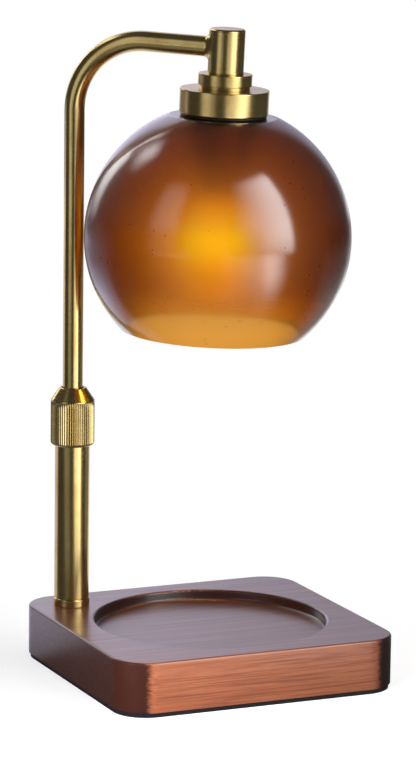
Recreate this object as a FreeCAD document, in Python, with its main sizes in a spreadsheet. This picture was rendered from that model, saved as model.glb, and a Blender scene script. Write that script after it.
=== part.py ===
import FreeCAD, Part
import os
import re
import Sketcher

# A candle warmer lamp: a wooden base with a dished seat for a candle jar, a brass post whose inner
# tube slides and turns in the outer one, and an amber glass globe hung over the seat with its bulb.
#
# Frame: millimetres, +Z up, origin on the table under the centre of the base. +X runs along the
# front edge to the right and +Y goes to the back. The post stands at the back left corner and the
# arm reaches from it over the seat.

# Every driving dimension, as alias: (value, what it is).
SIZES = {
    # wooden base and what it stands on
    "base_width": (152.0, "base along X"),
    "base_depth": (145.0, "base along Y"),
    "base_corner": (18.0, "corner radius of the base seen from above"),
    "wood_height": (25.5, "height of the wooden block"),
    "edge_round": (1.2, "rounding of the block's upper edges"),
    "pad_thickness": (2.5, "pad under the block"),
    "pad_inset": (1.0, "pad edge inside the block's edge"),
    "seat_radius": (59.5, "candle seat"),
    "seat_depth": (5.5, "depth of the candle seat"),
    "seat_floor_round": (1.5, "rounding where the seat's wall meets its floor"),
    "seat_shift": (1.0, "seat centre off the base centre, away from the post, along X and Y"),
    # place of the post and its fastening under the block
    "post_inset_side": (21.0, "post axis from the left face"),
    "post_inset_back": (21.5, "post axis from the back face"),
    "counterbore_radius": (14.0, "pocket for the fastening, from below"),
    "counterbore_depth": (19.0, "depth of that pocket"),
    "stud_radius": (5.0, "hollow threaded stud"),
    "stud_bore": (3.6, "bore radius of the stud"),
    "stud_tail": (0.5, "stud end past its nut"),
    "stud_setback": (1.0, "stud end below the top of the foot's spigot"),
    "washer_radius": (12.0, "washer under the block"),
    "washer_thickness": (1.2, "washer under the block"),
    "nut_flats": (14.0, "hexagon nuts, across flats"),
    "stud_nut_height": (4.0, "nut on the stud"),
    # cord inlet at the back
    "inlet_height": (8.0, "inlet axis above the table"),
    "inlet_flange": (5.0, "radius of the bushing's flange"),
    "inlet_flange_thick": (1.5, "thickness of the bushing's flange"),
    "inlet_barrel": (4.0, "radius of the bushing's barrel"),
    "inlet_bore": (2.3, "bore radius of the bushing"),
    "lead_radius": (2.0, "lead inside the lamp"),
    "lead_bend": (10.0, "bend of the lead under the post"),
    "lead_stub": (2.6, "lead end above the foot's spigot"),
    "lead_overlap": (4.0, "lead end inside the inlet bushing"),
    # outer tube and its foot
    "foot_radius": (9.35, "flange of the foot"),
    "foot_height": (4.4, "height of the foot's flange"),
    "foot_edge": (0.5, "bevel on the foot's flange"),
    "foot_spigot": (10.0, "spigot of the foot inside the outer tube"),
    "outer_tube_radius": (9.0, "outer tube"),
    "outer_tube_wall": (1.0, "wall of the outer tube"),
    "outer_tube_length": (84.9, "outer tube"),
    # clamp at the top of the outer tube
    "seat_spigot": (8.0, "spigot of the clamp seat inside the outer tube"),
    "seat_shoulder": (1.5, "shoulder of the clamp seat on the tube's end"),
    "seat_thread": (8.2, "outer radius of the clamp seat's thread"),
    "seat_thread_length": (13.5, "length of the clamp seat's thread"),
    "seat_cone": (2.0, "depth of the cone in the clamp seat's mouth"),
    "nut_radius": (11.3, "clamp nut over its knurl"),
    "nut_overlap": (4.0, "clamp nut down over the outer tube"),
    "nut_skirt": (23.5, "knurled height of the clamp nut"),
    "nut_cone": (6.5, "height of the clamp nut's cone"),
    "nut_top_radius": (6.9, "upper end of the clamp nut's cone"),
    "nut_top_hole": (5.8, "hole in the top of the clamp nut"),
    "nut_lip": (2.5, "height of that hole"),
    "nut_edge": (1.1, "bevel at the bottom of the clamp nut"),
    "nut_step_gap": (0.7, "clamp nut's inner step above the seat's shoulder"),
    "nut_cone_start": (1.5, "inner cone of the nut above the seat's top"),
    "knurl_count": (60, "grooves of the knurl"),
    "knurl_depth": (0.4, "depth of a groove"),
    "knurl_width": (0.95, "width of a groove at the nut's surface"),
    "ring_side_gap": (0.6, "split ring's rim inside the nut's thread"),
    "ring_lift": (0.15, "split ring above the seat's cone"),
    "ring_drop": (0.3, "split ring below the nut's cone"),
    "ring_top_gap": (1.0, "split ring's end below the end of the nut's cone"),
    "ring_slit": (1.4, "slit of the split ring"),
    # inner tube, its bend and the arm
    "inner_tube_radius": (5.2, "inner tube and arm"),
    "inner_tube_wall": (1.0, "wall of the inner tube"),
    "bend_radius": (36.5, "bend between the post and the arm"),
    "arm_height": (323.2, "highest point of the arm's axis above the table"),
    "arm_reach": (81.0, "post axis to the middle of the head"),
    "arm_azimuth": (-43.0, "direction of the arm seen from above"),
    "arm_droop": (2.0, "slope of the arm down to the head"),
    "arm_end_inset": (6.0, "arm end short of the head's axis"),
    "bush_length": (8.0, "guide bush on the inner tube"),
    "retainer_thickness": (1.0, "rings that hold the guide bush"),
    "retainer_width": (1.5, "how far those rings stand out of the tube"),
    "stop_gap": (0.4, "upper ring below the clamp seat's spigot"),
    "end_gap": (0.05, "guide bush to each of its rings"),
    "tube_tail": (1.0, "inner tube past its lower ring"),
    # head: hub, collar and cup
    "hub_radius": (9.1, "hub at the end of the arm"),
    "hub_above": (8.4, "hub above the arm's axis, without its cap"),
    "hub_below": (12.8, "hub below the arm's axis"),
    "hub_floor": (5.8, "threaded floor of the hub"),
    "hub_bore": (6.5, "hollow of the hub"),
    "saddle_radius": (7.4, "brazed fillet round the arm, where it meets the hub"),
    "saddle_out": (2.1, "how far that fillet runs out along the arm"),
    "cap_thickness": (1.3, "cap on the hub"),
    "cap_spigot": (2.0, "cap's spigot in the hub"),
    "cap_edge": (0.5, "bevel on the cap"),
    "nipple_setback": (0.6, "nipple end below the hub's hollow"),
    "nipple_tail": (1.5, "nipple end past its nut"),
    "nipple_nut_height": (3.5, "nut on the nipple"),
    "collar_radius": (13.6, "collar under the hub"),
    "collar_height": (7.7, "collar with its step"),
    "collar_step": (1.8, "height of the collar's lower step"),
    "collar_step_radius": (12.7, "radius of that step"),
    "small_edge": (0.4, "bevel on turned edges"),
    "cup_radius": (22.5, "cup over the globe's shoulder"),
    "cup_height": (12.1, "height of the cup"),
    "cup_wall": (2.0, "side wall of the cup"),
    "cup_roof": (2.5, "top wall of the cup"),
    # glass globe and what holds it
    "gasket_thickness": (1.6, "gasket between cup and globe"),
    "gasket_radius": (21.8, "gasket between cup and globe"),
    "post_clearance": (8.3, "outside of the globe to the inner tube of the post"),
    "glass_wall": (2.8, "wall of the globe"),
    "shoulder_radius": (27.6, "flat shoulder on top of the globe"),
    "rim_radius": (47.4, "open rim of the globe"),
    "rim_round": (1.0, "rounding of the rim"),
    "fitter_gap": (0.6, "globe's hole round the lamp holder"),
    "inner_gasket_thickness": (1.2, "gasket under the globe's shoulder"),
    "shade_ring_radius": (20.0, "ring that holds the globe"),
    "shade_ring_height": (4.0, "ring that holds the globe"),
    # lamp holder
    "holder_radius": (14.5, "sleeve of the lamp holder"),
    "holder_wall": (1.5, "wall of the sleeve"),
    "holder_roof": (1.6, "top wall of the sleeve"),
    "holder_length": (33.5, "length of the sleeve"),
    "ceramic_flange": (2.5, "ceramic below the sleeve"),
    "ceramic_depth": (18.0, "ceramic inside the sleeve"),
    "ceramic_floor": (11.0, "ceramic under its wiring space"),
    "wiring_radius": (10.5, "wiring space in the ceramic"),
    "contact_radius": (1.8, "contact pins"),
    "contact_gap": (0.25, "contact pin above the lamp pin"),
    "contact_strip": (0.8, "thickness of the contact strips"),
    "contact_inner": (2.6, "inner end of a contact strip from the axis"),
    "contact_outer": (8.0, "outer end of a contact strip from the axis"),
    "contact_width": (4.4, "width of a contact strip"),
    "lead_end_gap": (0.3, "lead end above the contact strips"),
    # bulb
    "twist_angle": (30.0, "turn that locks the bulb"),
    "bulb_gap": (0.15, "bulb below the lamp holder"),
    "pin_spread": (5.0, "pins from the bulb's axis"),
    "pin_neck": (1.5, "neck radius of a pin"),
    "pin_neck_length": (4.0, "neck of a pin"),
    "pin_head": (2.5, "head radius of a pin"),
    "pin_head_length": (2.8, "head of a pin"),
    "slot_gap": (0.15, "pins inside their slots"),
    "slot_step": (0.03, "curved part of a slot inside its round ends"),
    "bulb_base_radius": (9.5, "upper end of the bulb's base"),
    "bulb_base_wide": (10.5, "lower end of the bulb's base"),
    "bulb_base_height": (15.0, "bulb's base"),
    "bulb_socket": (6.0, "depth of the reflector's neck in the base"),
    "reflector_neck": (8.0, "neck of the reflector"),
    "reflector_radius": (17.5, "mouth of the reflector"),
    "reflector_height": (44.0, "reflector below the base"),
    "reflector_band": (3.0, "straight band at the reflector's mouth"),
    "reflector_wall": (1.4, "wall of the reflector"),
    "reflector_belly": (52.0, "radius of the reflector's curved side"),
    "lens_thickness": (2.0, "front glass of the bulb"),
    "capsule_radius": (4.5, "burner capsule"),
    "capsule_length": (34.0, "burner capsule"),
    # fits
    "fit_gap": (0.05, "pieces that are pressed, screwed or glued together"),
    "slide_gap": (0.08, "inner tube and guide bush in their bores"),
    "thread_gap": (0.1, "clamp nut on its thread"),
    "nut_clearance": (0.15, "clamp nut round the outer tube"),
    "stud_clearance": (0.2, "stud in the block"),
}

# Every place and size that follows from them.
PLACES = {
    "post_x": "-base_width / 2 + post_inset_side",
    "post_y": "base_depth / 2 - post_inset_back",
    "base_top": "pad_thickness + wood_height",
    "counterbore_top": "pad_thickness + counterbore_depth",
    "washer_bottom": "counterbore_top - washer_thickness",
    "stud_nut_bottom": "washer_bottom - stud_nut_height",
    "stud_bottom": "stud_nut_bottom - stud_tail",
    "tube_foot": "base_top + foot_height",
    "foot_spigot_top": "tube_foot + foot_spigot",
    "stud_top": "foot_spigot_top - stud_setback",
    "stud_hole": "stud_radius + stud_clearance",
    "lead_top": "foot_spigot_top + lead_stub",
    "inlet_inner": "counterbore_radius + fit_gap",
    "tube_top": "tube_foot + outer_tube_length",
    "outer_tube_bore": "outer_tube_radius - outer_tube_wall",
    "spigot_radius": "outer_tube_bore - fit_gap",
    "guide_bore": "inner_tube_radius + slide_gap",
    "spigot_bottom": "tube_top - seat_spigot",
    "shoulder_top": "tube_top + seat_shoulder",
    "clamp_seat_top": "shoulder_top + seat_thread_length",
    "clamp_seat_cone": "clamp_seat_top - seat_cone",
    "nut_bottom": "tube_top - nut_overlap",
    "nut_bore": "outer_tube_radius + nut_clearance",
    "nut_knurl_top": "nut_bottom + nut_skirt",
    "nut_top": "nut_knurl_top + nut_cone",
    "nut_thread_bottom": "shoulder_top + nut_step_gap",
    "nut_thread": "seat_thread + thread_gap",
    "nut_cone_bottom": "clamp_seat_top + nut_cone_start",
    "nut_cone_top": "nut_top - nut_lip",
    "cone_slope": "(nut_thread - nut_top_hole) / (nut_cone_top - nut_cone_bottom)",
    "ring_radius": "nut_thread - ring_side_gap",
    "ring_bottom": "clamp_seat_cone + ring_lift",
    "ring_rim_bottom": "ring_bottom + ring_radius - guide_bore",
    "ring_rim_top": "nut_cone_bottom - ring_drop + ring_side_gap / cone_slope",
    "ring_top": "nut_cone_top - ring_top_gap",
    "ring_top_radius": "nut_thread - (ring_top + ring_drop - nut_cone_bottom) * cone_slope",
    "upper_retainer_top": "spigot_bottom - stop_gap",
    "upper_retainer_bottom": "upper_retainer_top - retainer_thickness",
    "bush_top": "upper_retainer_bottom - end_gap",
    "bush_bottom": "bush_top - bush_length",
    "lower_retainer_top": "bush_bottom - end_gap",
    "lower_retainer_bottom": "lower_retainer_top - retainer_thickness",
    "inner_tube_end": "lower_retainer_bottom - tube_tail",
    "inner_tube_bore": "inner_tube_radius - inner_tube_wall",
    "bend_centre_z": "arm_height - bend_radius",
    "bend_end_x": "bend_radius + bend_radius * sin(arm_droop)",
    "bend_end_z": "bend_centre_z + bend_radius * cos(arm_droop)",
    "head_z": "bend_end_z - (arm_reach - bend_end_x) * tan(arm_droop)",
    "arm_end_x": "arm_reach - arm_end_inset * cos(arm_droop)",
    "arm_end_z": "head_z + arm_end_inset * sin(arm_droop)",
    "hub_hollow_bottom": "-hub_below + hub_floor",
    "nipple_top": "hub_hollow_bottom - nipple_setback",
    "collar_step_top": "-hub_below - collar_height + collar_step",
    "cup_top": "-hub_below - collar_height",
    "cup_ceiling": "cup_top - cup_roof",
    "cup_bottom": "cup_top - cup_height",
    "gasket_bottom": "cup_bottom - gasket_thickness",
    "globe_radius": "arm_reach - inner_tube_radius - post_clearance",
    "globe_z": "gasket_bottom - sqrt(globe_radius ^ 2 - shoulder_radius ^ 2)",
    "globe_bore": "globe_radius - glass_wall",
    "glass_ceiling": "gasket_bottom - glass_wall",
    "glass_ceiling_radius": "sqrt(globe_bore ^ 2 - (glass_ceiling - globe_z) ^ 2)",
    "rim_z": "globe_z - sqrt(globe_radius ^ 2 - rim_radius ^ 2)",
    "rim_bore": "sqrt(globe_bore ^ 2 - (rim_z - globe_z) ^ 2)",
    "fitter_radius": "holder_radius + fitter_gap",
    "inner_gasket_bottom": "glass_ceiling - inner_gasket_thickness",
    "shade_ring_bottom": "inner_gasket_bottom - shade_ring_height",
    "holder_bore": "holder_radius - holder_wall",
    "holder_roof_bottom": "cup_ceiling - holder_roof",
    "nipple_nut_bottom": "holder_roof_bottom - nipple_nut_height",
    "nipple_bottom": "nipple_nut_bottom - nipple_tail",
    "holder_bottom": "cup_ceiling - holder_length",
    "ceramic_top": "holder_bottom + ceramic_depth",
    "ceramic_face": "holder_bottom - ceramic_flange",
    "wiring_floor": "ceramic_face + ceramic_floor",
    "bulb_top": "ceramic_face - bulb_gap",
    "pin_neck_top": "bulb_top + pin_neck_length",
    "pin_head_top": "pin_neck_top + pin_head_length",
    "undercut_bottom": "pin_neck_top - slot_gap",
    "undercut_top": "pin_head_top + slot_gap",
    "neck_slot": "pin_neck + slot_gap",
    "head_slot": "pin_head + slot_gap",
    "contact_bottom": "pin_head_top + contact_gap",
    "head_lead_end": "wiring_floor + contact_strip + lead_end_gap",
    "bulb_base_bottom": "bulb_top - bulb_base_height",
    "bulb_socket_top": "bulb_base_bottom + bulb_socket",
    "reflector_bottom": "bulb_base_bottom - reflector_height",
    "reflector_band_top": "reflector_bottom + reflector_band",
}

WORD = re.compile(r"[a-z_]+")


def bound(formula):
    """A formula with each named size as a cell of the sheet and each named place worked out."""

    def swap(match):
        word = match.group(0)
        if word in PLACES:
            return "(" + bound(PLACES[word]) + ")"
        return "Sizes." + word if word in SIZES else word

    return WORD.sub(swap, formula)


# Placements that sub-parts share, as formulas.
AT_ORIGIN = "placement(vector(0; 0; 0); rotation(vector(0; 0; 1); 0))"
AT_POST = "placement(vector(post_x; post_y; 0); rotation(vector(0; 0; 1); 0))"
ALONG_INLET = "placement(vector(post_x; post_y; inlet_height); rotation(vector(1; 0; 0); -90))"
FACING_BACK = "placement(vector(post_x; post_y; 0); rotation(vector(0; 0; 1); 90))"
IN_ARM_PLANE = "placement(vector(post_x; post_y; 0); rotation(vector(0; 0; 1); arm_azimuth))"
AT_HEAD = IN_ARM_PLANE + " * placement(vector(arm_reach; 0; head_z); rotation(vector(0; 1; 0); arm_droop))"


def make_sheet(doc):
    """The spreadsheet that holds every driving dimension under its alias."""
    sheet = doc.addObject("Spreadsheet::Sheet", "Sizes")
    for row, (alias, (size, meaning)) in enumerate(SIZES.items(), start=1):
        sheet.set(f"A{row}", meaning)
        sheet.set(f"B{row}", str(size))
        sheet.setAlias(f"B{row}", alias)
    doc.recompute()
    return sheet


class Piece:
    """One sub-part: a PartDesign body whose sketches and features follow the sheet."""

    def __init__(self, doc, name, placement, several=False):
        self.doc = doc
        self.body = doc.addObject("PartDesign::Body", name)
        self.body.Label = name
        self.body.AllowCompound = several
        self.body.setExpression("Placement", bound(placement))

    def value(self, formula):
        """What a formula comes to with the sizes as they stand."""
        result = self.body.evalExpression(bound(formula))
        return float(getattr(result, "Value", result))

    def sketch(self, role="XY_Plane", offset="0"):
        """An empty sketch on one of the body's own planes, moved along its normal."""
        plane = next(item for item in self.body.Origin.OriginFeatures if item.Role == role)
        sketch = self.body.newObject("Sketcher::SketchObject", f"{self.body.Name}_sketch")
        sketch.AttachmentSupport = [(plane, "")]
        sketch.MapMode = "FlatFace"
        sketch.setExpression("AttachmentOffset.Base.z", bound(offset))
        return sketch

    def dimension(self, sketch, kind, formula, *where):
        """A constraint whose size is a formula."""
        index = sketch.addConstraint(Sketcher.Constraint(kind, *where, self.value(formula)))
        sketch.setExpression(f"Constraints[{index}]", bound(formula))

    def pin_point(self, sketch, edge, end, corner):
        """Hold one end of an edge at a corner given by two formulas."""
        for kind, axis, formula in (("DistanceX", -2, corner[0]), ("DistanceY", -1, corner[1])):
            if formula == "0":
                sketch.addConstraint(Sketcher.Constraint("PointOnObject", edge, end, axis))
            else:
                self.dimension(sketch, kind, formula, -1, 1, edge, end)

    def draw(self, sketch, corners, bends=None, closed=True):
        """Straight edges through the corners; bends gives the radius of the arc that leaves a corner.

        A positive radius bulges to the right of the way drawn, a negative one to the left.
        """
        bends = bends or {}
        points = [FreeCAD.Vector(self.value(x), self.value(y), 0) for x, y in corners]
        count = len(points) if closed else len(points) - 1
        edges = []
        for number in range(count):
            start, finish = points[number], points[(number + 1) % len(points)]
            if number in bends:
                edge = sketch.addGeometry(arc_between(start, finish, self.value(bends[number])))
                ends = (1, 2) if (sketch.getPoint(edge, 1) - start).Length < 1e-6 else (2, 1)
            else:
                edge = sketch.addGeometry(Part.LineSegment(start, finish))
                ends = (1, 2)
            edges.append((edge, ends))
        for number, (edge, ends) in enumerate(edges):
            if number in bends:
                self.dimension(sketch, "Radius", bends[number].lstrip("-"), edge)
            self.pin_point(sketch, edge, ends[0], corners[number])
            if closed or number + 1 < count:
                following, following_ends = edges[(number + 1) % count]
                join = (edge, ends[1], following, following_ends[0])
                sketch.addConstraint(Sketcher.Constraint("Coincident", *join))
            else:
                self.pin_point(sketch, edge, ends[1], corners[number + 1])
        return sketch

    def circles(self, sketch, *rings):
        """Circles, each an x, a y and a radius given by formulas."""
        for x, y, radius in rings:
            centre = FreeCAD.Vector(self.value(x), self.value(y), 0)
            circle = Part.Circle(centre, FreeCAD.Vector(0, 0, 1), self.value(radius))
            edge = sketch.addGeometry(circle)
            self.dimension(sketch, "Radius", radius, edge)
            self.pin_point(sketch, edge, 3, (x, y))
        return sketch

    def feature(self, kind, sketch):
        """A PartDesign feature made from a sketch."""
        feature = self.body.newObject(f"PartDesign::{kind}", f"{self.body.Name}_{kind.lower()}")
        feature.Profile = sketch
        return feature

    def extrude(self, sketch, length, kind="Pad", flip=False):
        """A pad, or a pocket, of a length that is a formula."""
        feature = self.feature(kind, sketch)
        feature.Reversed = flip
        feature.setExpression("Length", bound(length))
        return feature

    def turn(self, corners, bends=None, kind="Revolution", angle="360", axis="V_Axis", flip=False):
        """An outline of (radius, height) corners turned about the piece's own axis."""
        sketch = self.draw(self.sketch("XZ_Plane"), corners, bends)
        feature = self.feature(kind, sketch)
        feature.ReferenceAxis = (sketch, [axis])
        feature.Reversed = flip
        feature.setExpression("Angle", bound(angle))
        return feature

    def pipe(self, profile, corners, bends):
        """A section swept along a path of straight runs and arcs in the piece's XZ plane."""
        path = self.draw(self.sketch("XZ_Plane"), corners, bends, closed=False)
        self.doc.recompute()
        feature = self.feature("AdditivePipe", profile)
        feature.Spine = (path, [f"Edge{number + 1}" for number in range(len(corners) - 1)])
        return feature

    def repeat(self, features, count):
        """Features repeated evenly about the piece's own axis."""
        pattern = self.body.newObject("PartDesign::PolarPattern", f"{self.body.Name}_pattern")
        pattern.Originals = features
        pattern.Axis = (features[0].Profile[0], ["N_Axis"])
        pattern.Angle = 360
        pattern.setExpression("Occurrences", bound(count))
        self.body.Tip = pattern

    def round_edges(self, wanted, radius):
        """A fillet on every edge of the present shape that the test wants."""
        self.doc.recompute()
        tip = self.body.Tip
        edges = [f"Edge{n + 1}" for n, edge in enumerate(tip.Shape.Edges) if wanted(edge)]
        fillet = self.body.newObject("PartDesign::Fillet", f"{self.body.Name}_fillet")
        fillet.Base = (tip, edges)
        fillet.setExpression("Radius", bound(radius))


def arc_between(start, finish, radius):
    """The shorter arc of this radius; a positive one bulges to the right of the way from start to finish."""
    along = finish - start
    right = FreeCAD.Vector(along.y, -along.x, 0).normalize()
    half = along.Length / 2
    size = abs(radius)
    rise = size - (size**2 - half**2) ** 0.5
    middle = start + along * 0.5 + right * (rise if radius > 0 else -rise)
    return Part.Arc(start, middle, finish)


def level_edges(height):
    """A test that picks the edges lying in one horizontal plane."""

    def wanted(edge):
        box = edge.BoundBox
        return abs(box.ZMin - height) < 1e-4 and abs(box.ZMax - height) < 1e-4

    return wanted


def ring(inner, outer, bottom, top, edge=None):
    """Corners of a plain ring, with a bevel on both outer edges if one is asked for."""
    if edge is None:
        return [(inner, bottom), (outer, bottom), (outer, top), (inner, top)]
    return [
        (inner, bottom),
        (f"{outer} - {edge}", bottom),
        (outer, f"{bottom} + {edge}"),
        (outer, f"{top} - {edge}"),
        (f"{outer} - {edge}", top),
        (inner, top),
    ]


def rounded_rectangle(width, depth, corner):
    """Corners and bends of a rectangle with round corners, centred on the origin."""
    half_width, half_depth = f"({width}) / 2", f"({depth}) / 2"
    near_x, near_y = f"({half_width} - ({corner}))", f"({half_depth} - ({corner}))"
    corners = [
        (f"-{near_x}", f"-{half_depth}"),
        (near_x, f"-{half_depth}"),
        (half_width, f"-{near_y}"),
        (half_width, near_y),
        (near_x, half_depth),
        (f"-{near_x}", half_depth),
        (f"-{half_width}", near_y),
        (f"-{half_width}", f"-{near_y}"),
    ]
    return corners, {number: corner for number in (1, 3, 5, 7)}


def hexagon(flats):
    """Corners of a hexagon of this size across its flats."""
    tip, side, half = f"{flats} / sqrt(3)", f"{flats} / sqrt(12)", f"{flats} / 2"
    return [
        (tip, "0"),
        (side, half),
        (f"-{side}", half),
        (f"-{tip}", "0"),
        (f"-{side}", f"-{half}"),
        (side, f"-{half}"),
    ]


# Base


def wooden_base(doc):
    """The block, with the candle seat above and the pocket for the post's fastening below."""
    piece = Piece(doc, "wooden_base", AT_ORIGIN)
    corners, bends = rounded_rectangle("base_width", "base_depth", "base_corner")
    outline = piece.draw(piece.sketch(offset="pad_thickness"), corners, bends)
    piece.extrude(outline, "wood_height")
    seat = piece.circles(piece.sketch(offset="base_top"), ("seat_shift", "-seat_shift", "seat_radius"))
    piece.extrude(seat, "seat_depth", "Pocket")
    piece.round_edges(level_edges(piece.value("base_top")), "edge_round")
    piece.round_edges(level_edges(piece.value("base_top - seat_depth")), "seat_floor_round")
    hole = piece.circles(piece.sketch(offset="base_top"), ("post_x", "post_y", "stud_hole"))
    piece.extrude(hole, "wood_height", "Pocket")
    pocket = piece.sketch(offset="pad_thickness")
    piece.circles(pocket, ("post_x", "post_y", "counterbore_radius"))
    piece.extrude(pocket, "counterbore_depth", "Pocket", flip=True)
    for radius, depth in (
        ("inlet_barrel + fit_gap", "post_inset_back"),
        ("inlet_flange + fit_gap", "inlet_flange_thick"),
    ):
        inlet = piece.sketch("XZ_Plane", offset="-base_depth / 2")
        piece.circles(inlet, ("post_x", "inlet_height", radius))
        piece.extrude(inlet, depth, "Pocket", flip=True)


def base_pad(doc):
    """The dark pad glued under the block, which closes the pocket and rests on the table."""
    piece = Piece(doc, "base_pad", AT_ORIGIN)
    corners, bends = rounded_rectangle(
        "base_width - 2 * pad_inset", "base_depth - 2 * pad_inset", "base_corner - pad_inset"
    )
    piece.extrude(piece.draw(piece.sketch(), corners, bends), "pad_thickness")


def cord_inlet_bushing(doc):
    """The bushing that the supply cord comes through, flush with the back face."""
    piece = Piece(doc, "cord_inlet_bushing", ALONG_INLET)
    step = "post_inset_back - inlet_flange_thick"
    piece.turn([
        ("inlet_bore", "inlet_inner"),
        ("inlet_barrel", "inlet_inner"),
        ("inlet_barrel", step),
        ("inlet_flange", step),
        ("inlet_flange", "post_inset_back"),
        ("inlet_bore", "post_inset_back"),
    ])


def supply_lead(doc):
    """The lead from the inlet to the foot of the post, up through the hollow stud."""
    piece = Piece(doc, "supply_lead", FACING_BACK)
    section = piece.circles(piece.sketch(offset="lead_top"), ("0", "0", "lead_radius"))
    route = [
        ("0", "lead_top"),
        ("0", "inlet_height + lead_bend"),
        ("lead_bend", "inlet_height"),
        ("post_inset_back - lead_overlap", "inlet_height"),
    ]
    piece.pipe(section, route, {1: "lead_bend"})


def base_stud(doc):
    """The hollow stud that ties the post to the block."""
    Piece(doc, "base_stud", AT_POST).turn(ring("stud_bore", "stud_radius", "stud_bottom", "stud_top"))


def stud_washer(doc):
    """The washer that spreads the stud's pull under the block."""
    piece = Piece(doc, "stud_washer", AT_POST)
    piece.turn(ring("stud_hole", "washer_radius", "washer_bottom", "counterbore_top"))


def hexagon_nut(doc, name, placement, bottom, height):
    """A thin hexagon nut on the stud's or the nipple's thread."""
    piece = Piece(doc, name, placement)
    piece.extrude(piece.draw(piece.sketch(offset=bottom), hexagon("nut_flats")), height)
    bore = piece.circles(piece.sketch(offset=bottom), ("0", "0", "stud_radius + fit_gap"))
    piece.extrude(bore, height, "Pocket", flip=True)


def foot_collar(doc):
    """The turned foot: a flange on the block, and a spigot that carries the outer tube."""
    piece = Piece(doc, "foot_collar", AT_POST)
    piece.turn([
        ("stud_radius + fit_gap", "base_top"),
        ("foot_radius", "base_top"),
        ("foot_radius", "tube_foot - foot_edge"),
        ("foot_radius - foot_edge", "tube_foot"),
        ("spigot_radius", "tube_foot"),
        ("spigot_radius", "foot_spigot_top"),
        ("stud_radius + fit_gap", "foot_spigot_top"),
    ])


def lower_tube(doc):
    """The outer tube of the post."""
    piece = Piece(doc, "lower_tube", AT_POST)
    piece.turn(ring("outer_tube_bore", "outer_tube_radius", "tube_foot", "tube_top"))


def clamp_seat(doc):
    """The threaded fitting in the top of the outer tube, with a cone in its mouth."""
    piece = Piece(doc, "clamp_seat", AT_POST)
    piece.turn([
        ("guide_bore", "spigot_bottom"),
        ("spigot_radius", "spigot_bottom"),
        ("spigot_radius", "tube_top"),
        ("outer_tube_radius", "tube_top"),
        ("outer_tube_radius", "shoulder_top"),
        ("seat_thread", "shoulder_top"),
        ("seat_thread", "clamp_seat_top"),
        ("guide_bore + seat_cone", "clamp_seat_top"),
        ("guide_bore", "clamp_seat_cone"),
    ])


# Clamp


def split_ring(doc):
    """The slit ring that the nut's cone closes on the inner tube."""
    piece = Piece(doc, "split_ring", AT_POST)
    piece.turn([
        ("guide_bore", "ring_bottom"),
        ("ring_radius", "ring_rim_bottom"),
        ("ring_radius", "ring_rim_top"),
        ("ring_top_radius", "ring_top"),
        ("guide_bore", "ring_top"),
    ])
    slit = piece.draw(piece.sketch(offset="ring_bottom"), [
        ("0", "-ring_slit / 2"),
        ("nut_radius", "-ring_slit / 2"),
        ("nut_radius", "ring_slit / 2"),
        ("0", "ring_slit / 2"),
    ])
    piece.extrude(slit, "ring_top - ring_bottom", "Pocket", flip=True)


def clamp_nut(doc):
    """The knurled nut with a conical top, threaded on the clamp seat."""
    piece = Piece(doc, "clamp_nut", AT_POST)
    piece.turn([
        ("nut_bore", "nut_bottom"),
        ("nut_radius - nut_edge", "nut_bottom"),
        ("nut_radius", "nut_bottom + nut_edge"),
        ("nut_radius", "nut_knurl_top"),
        ("nut_top_radius", "nut_top"),
        ("nut_top_hole", "nut_top"),
        ("nut_top_hole", "nut_cone_top"),
        ("nut_thread", "nut_cone_bottom"),
        ("nut_thread", "nut_thread_bottom"),
        ("nut_bore", "nut_thread_bottom"),
    ])
    groove = piece.draw(piece.sketch(offset="nut_knurl_top"), [
        ("nut_radius - knurl_depth", "0"),
        ("nut_radius + knurl_depth", "-knurl_width"),
        ("nut_radius + knurl_depth", "knurl_width"),
    ])
    piece.repeat([piece.extrude(groove, "nut_skirt", "Pocket")], "knurl_count")


# Inner tube and arm


def guide_bush(doc):
    """The bush that guides the inner tube in the outer one."""
    piece = Piece(doc, "guide_bush", AT_POST)
    piece.turn(ring("guide_bore", "outer_tube_bore - slide_gap", "bush_bottom", "bush_top"))


def tube_retainers(doc):
    """The two rings on the inner tube that keep the bush in its place."""
    piece = Piece(doc, "tube_retainers", IN_ARM_PLANE, several=True)
    inner, outer = "inner_tube_radius + fit_gap", "inner_tube_radius + retainer_width"
    for bottom, top in (
        ("lower_retainer_bottom", "lower_retainer_top"),
        ("upper_retainer_bottom", "upper_retainer_top"),
    ):
        piece.turn(ring(inner, outer, bottom, top))


def arm_tube(doc):
    """The inner tube of the post, bent over into the arm."""
    piece = Piece(doc, "arm_tube", IN_ARM_PLANE)
    section = piece.sketch(offset="inner_tube_end")
    piece.circles(section, ("0", "0", "inner_tube_radius"), ("0", "0", "inner_tube_bore"))
    route = [
        ("0", "inner_tube_end"),
        ("0", "bend_centre_z"),
        ("bend_end_x", "bend_end_z"),
        ("arm_end_x", "arm_end_z"),
    ]
    piece.pipe(section, route, {1: "-bend_radius"})


def head_lead(doc):
    """The lead through the inner tube and the arm, down through the nipple to the lamp holder."""
    piece = Piece(doc, "head_lead", IN_ARM_PLANE)
    section = piece.circles(piece.sketch(offset="inner_tube_end"), ("0", "0", "lead_radius"))
    turn = "hub_bore - lead_radius"
    route = [
        ("0", "inner_tube_end"),
        ("0", "bend_centre_z"),
        ("bend_end_x", "bend_end_z"),
        (f"arm_reach - ({turn}) * cos(arm_droop)", f"head_z + ({turn}) * sin(arm_droop)"),
        (f"arm_reach - ({turn}) * sin(arm_droop)", f"head_z - ({turn}) * cos(arm_droop)"),
        ("arm_reach + head_lead_end * sin(arm_droop)", "head_z + head_lead_end * cos(arm_droop)"),
    ]
    piece.pipe(section, route, {1: "-bend_radius", 3: f"-({turn})"})


# Head


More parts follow.
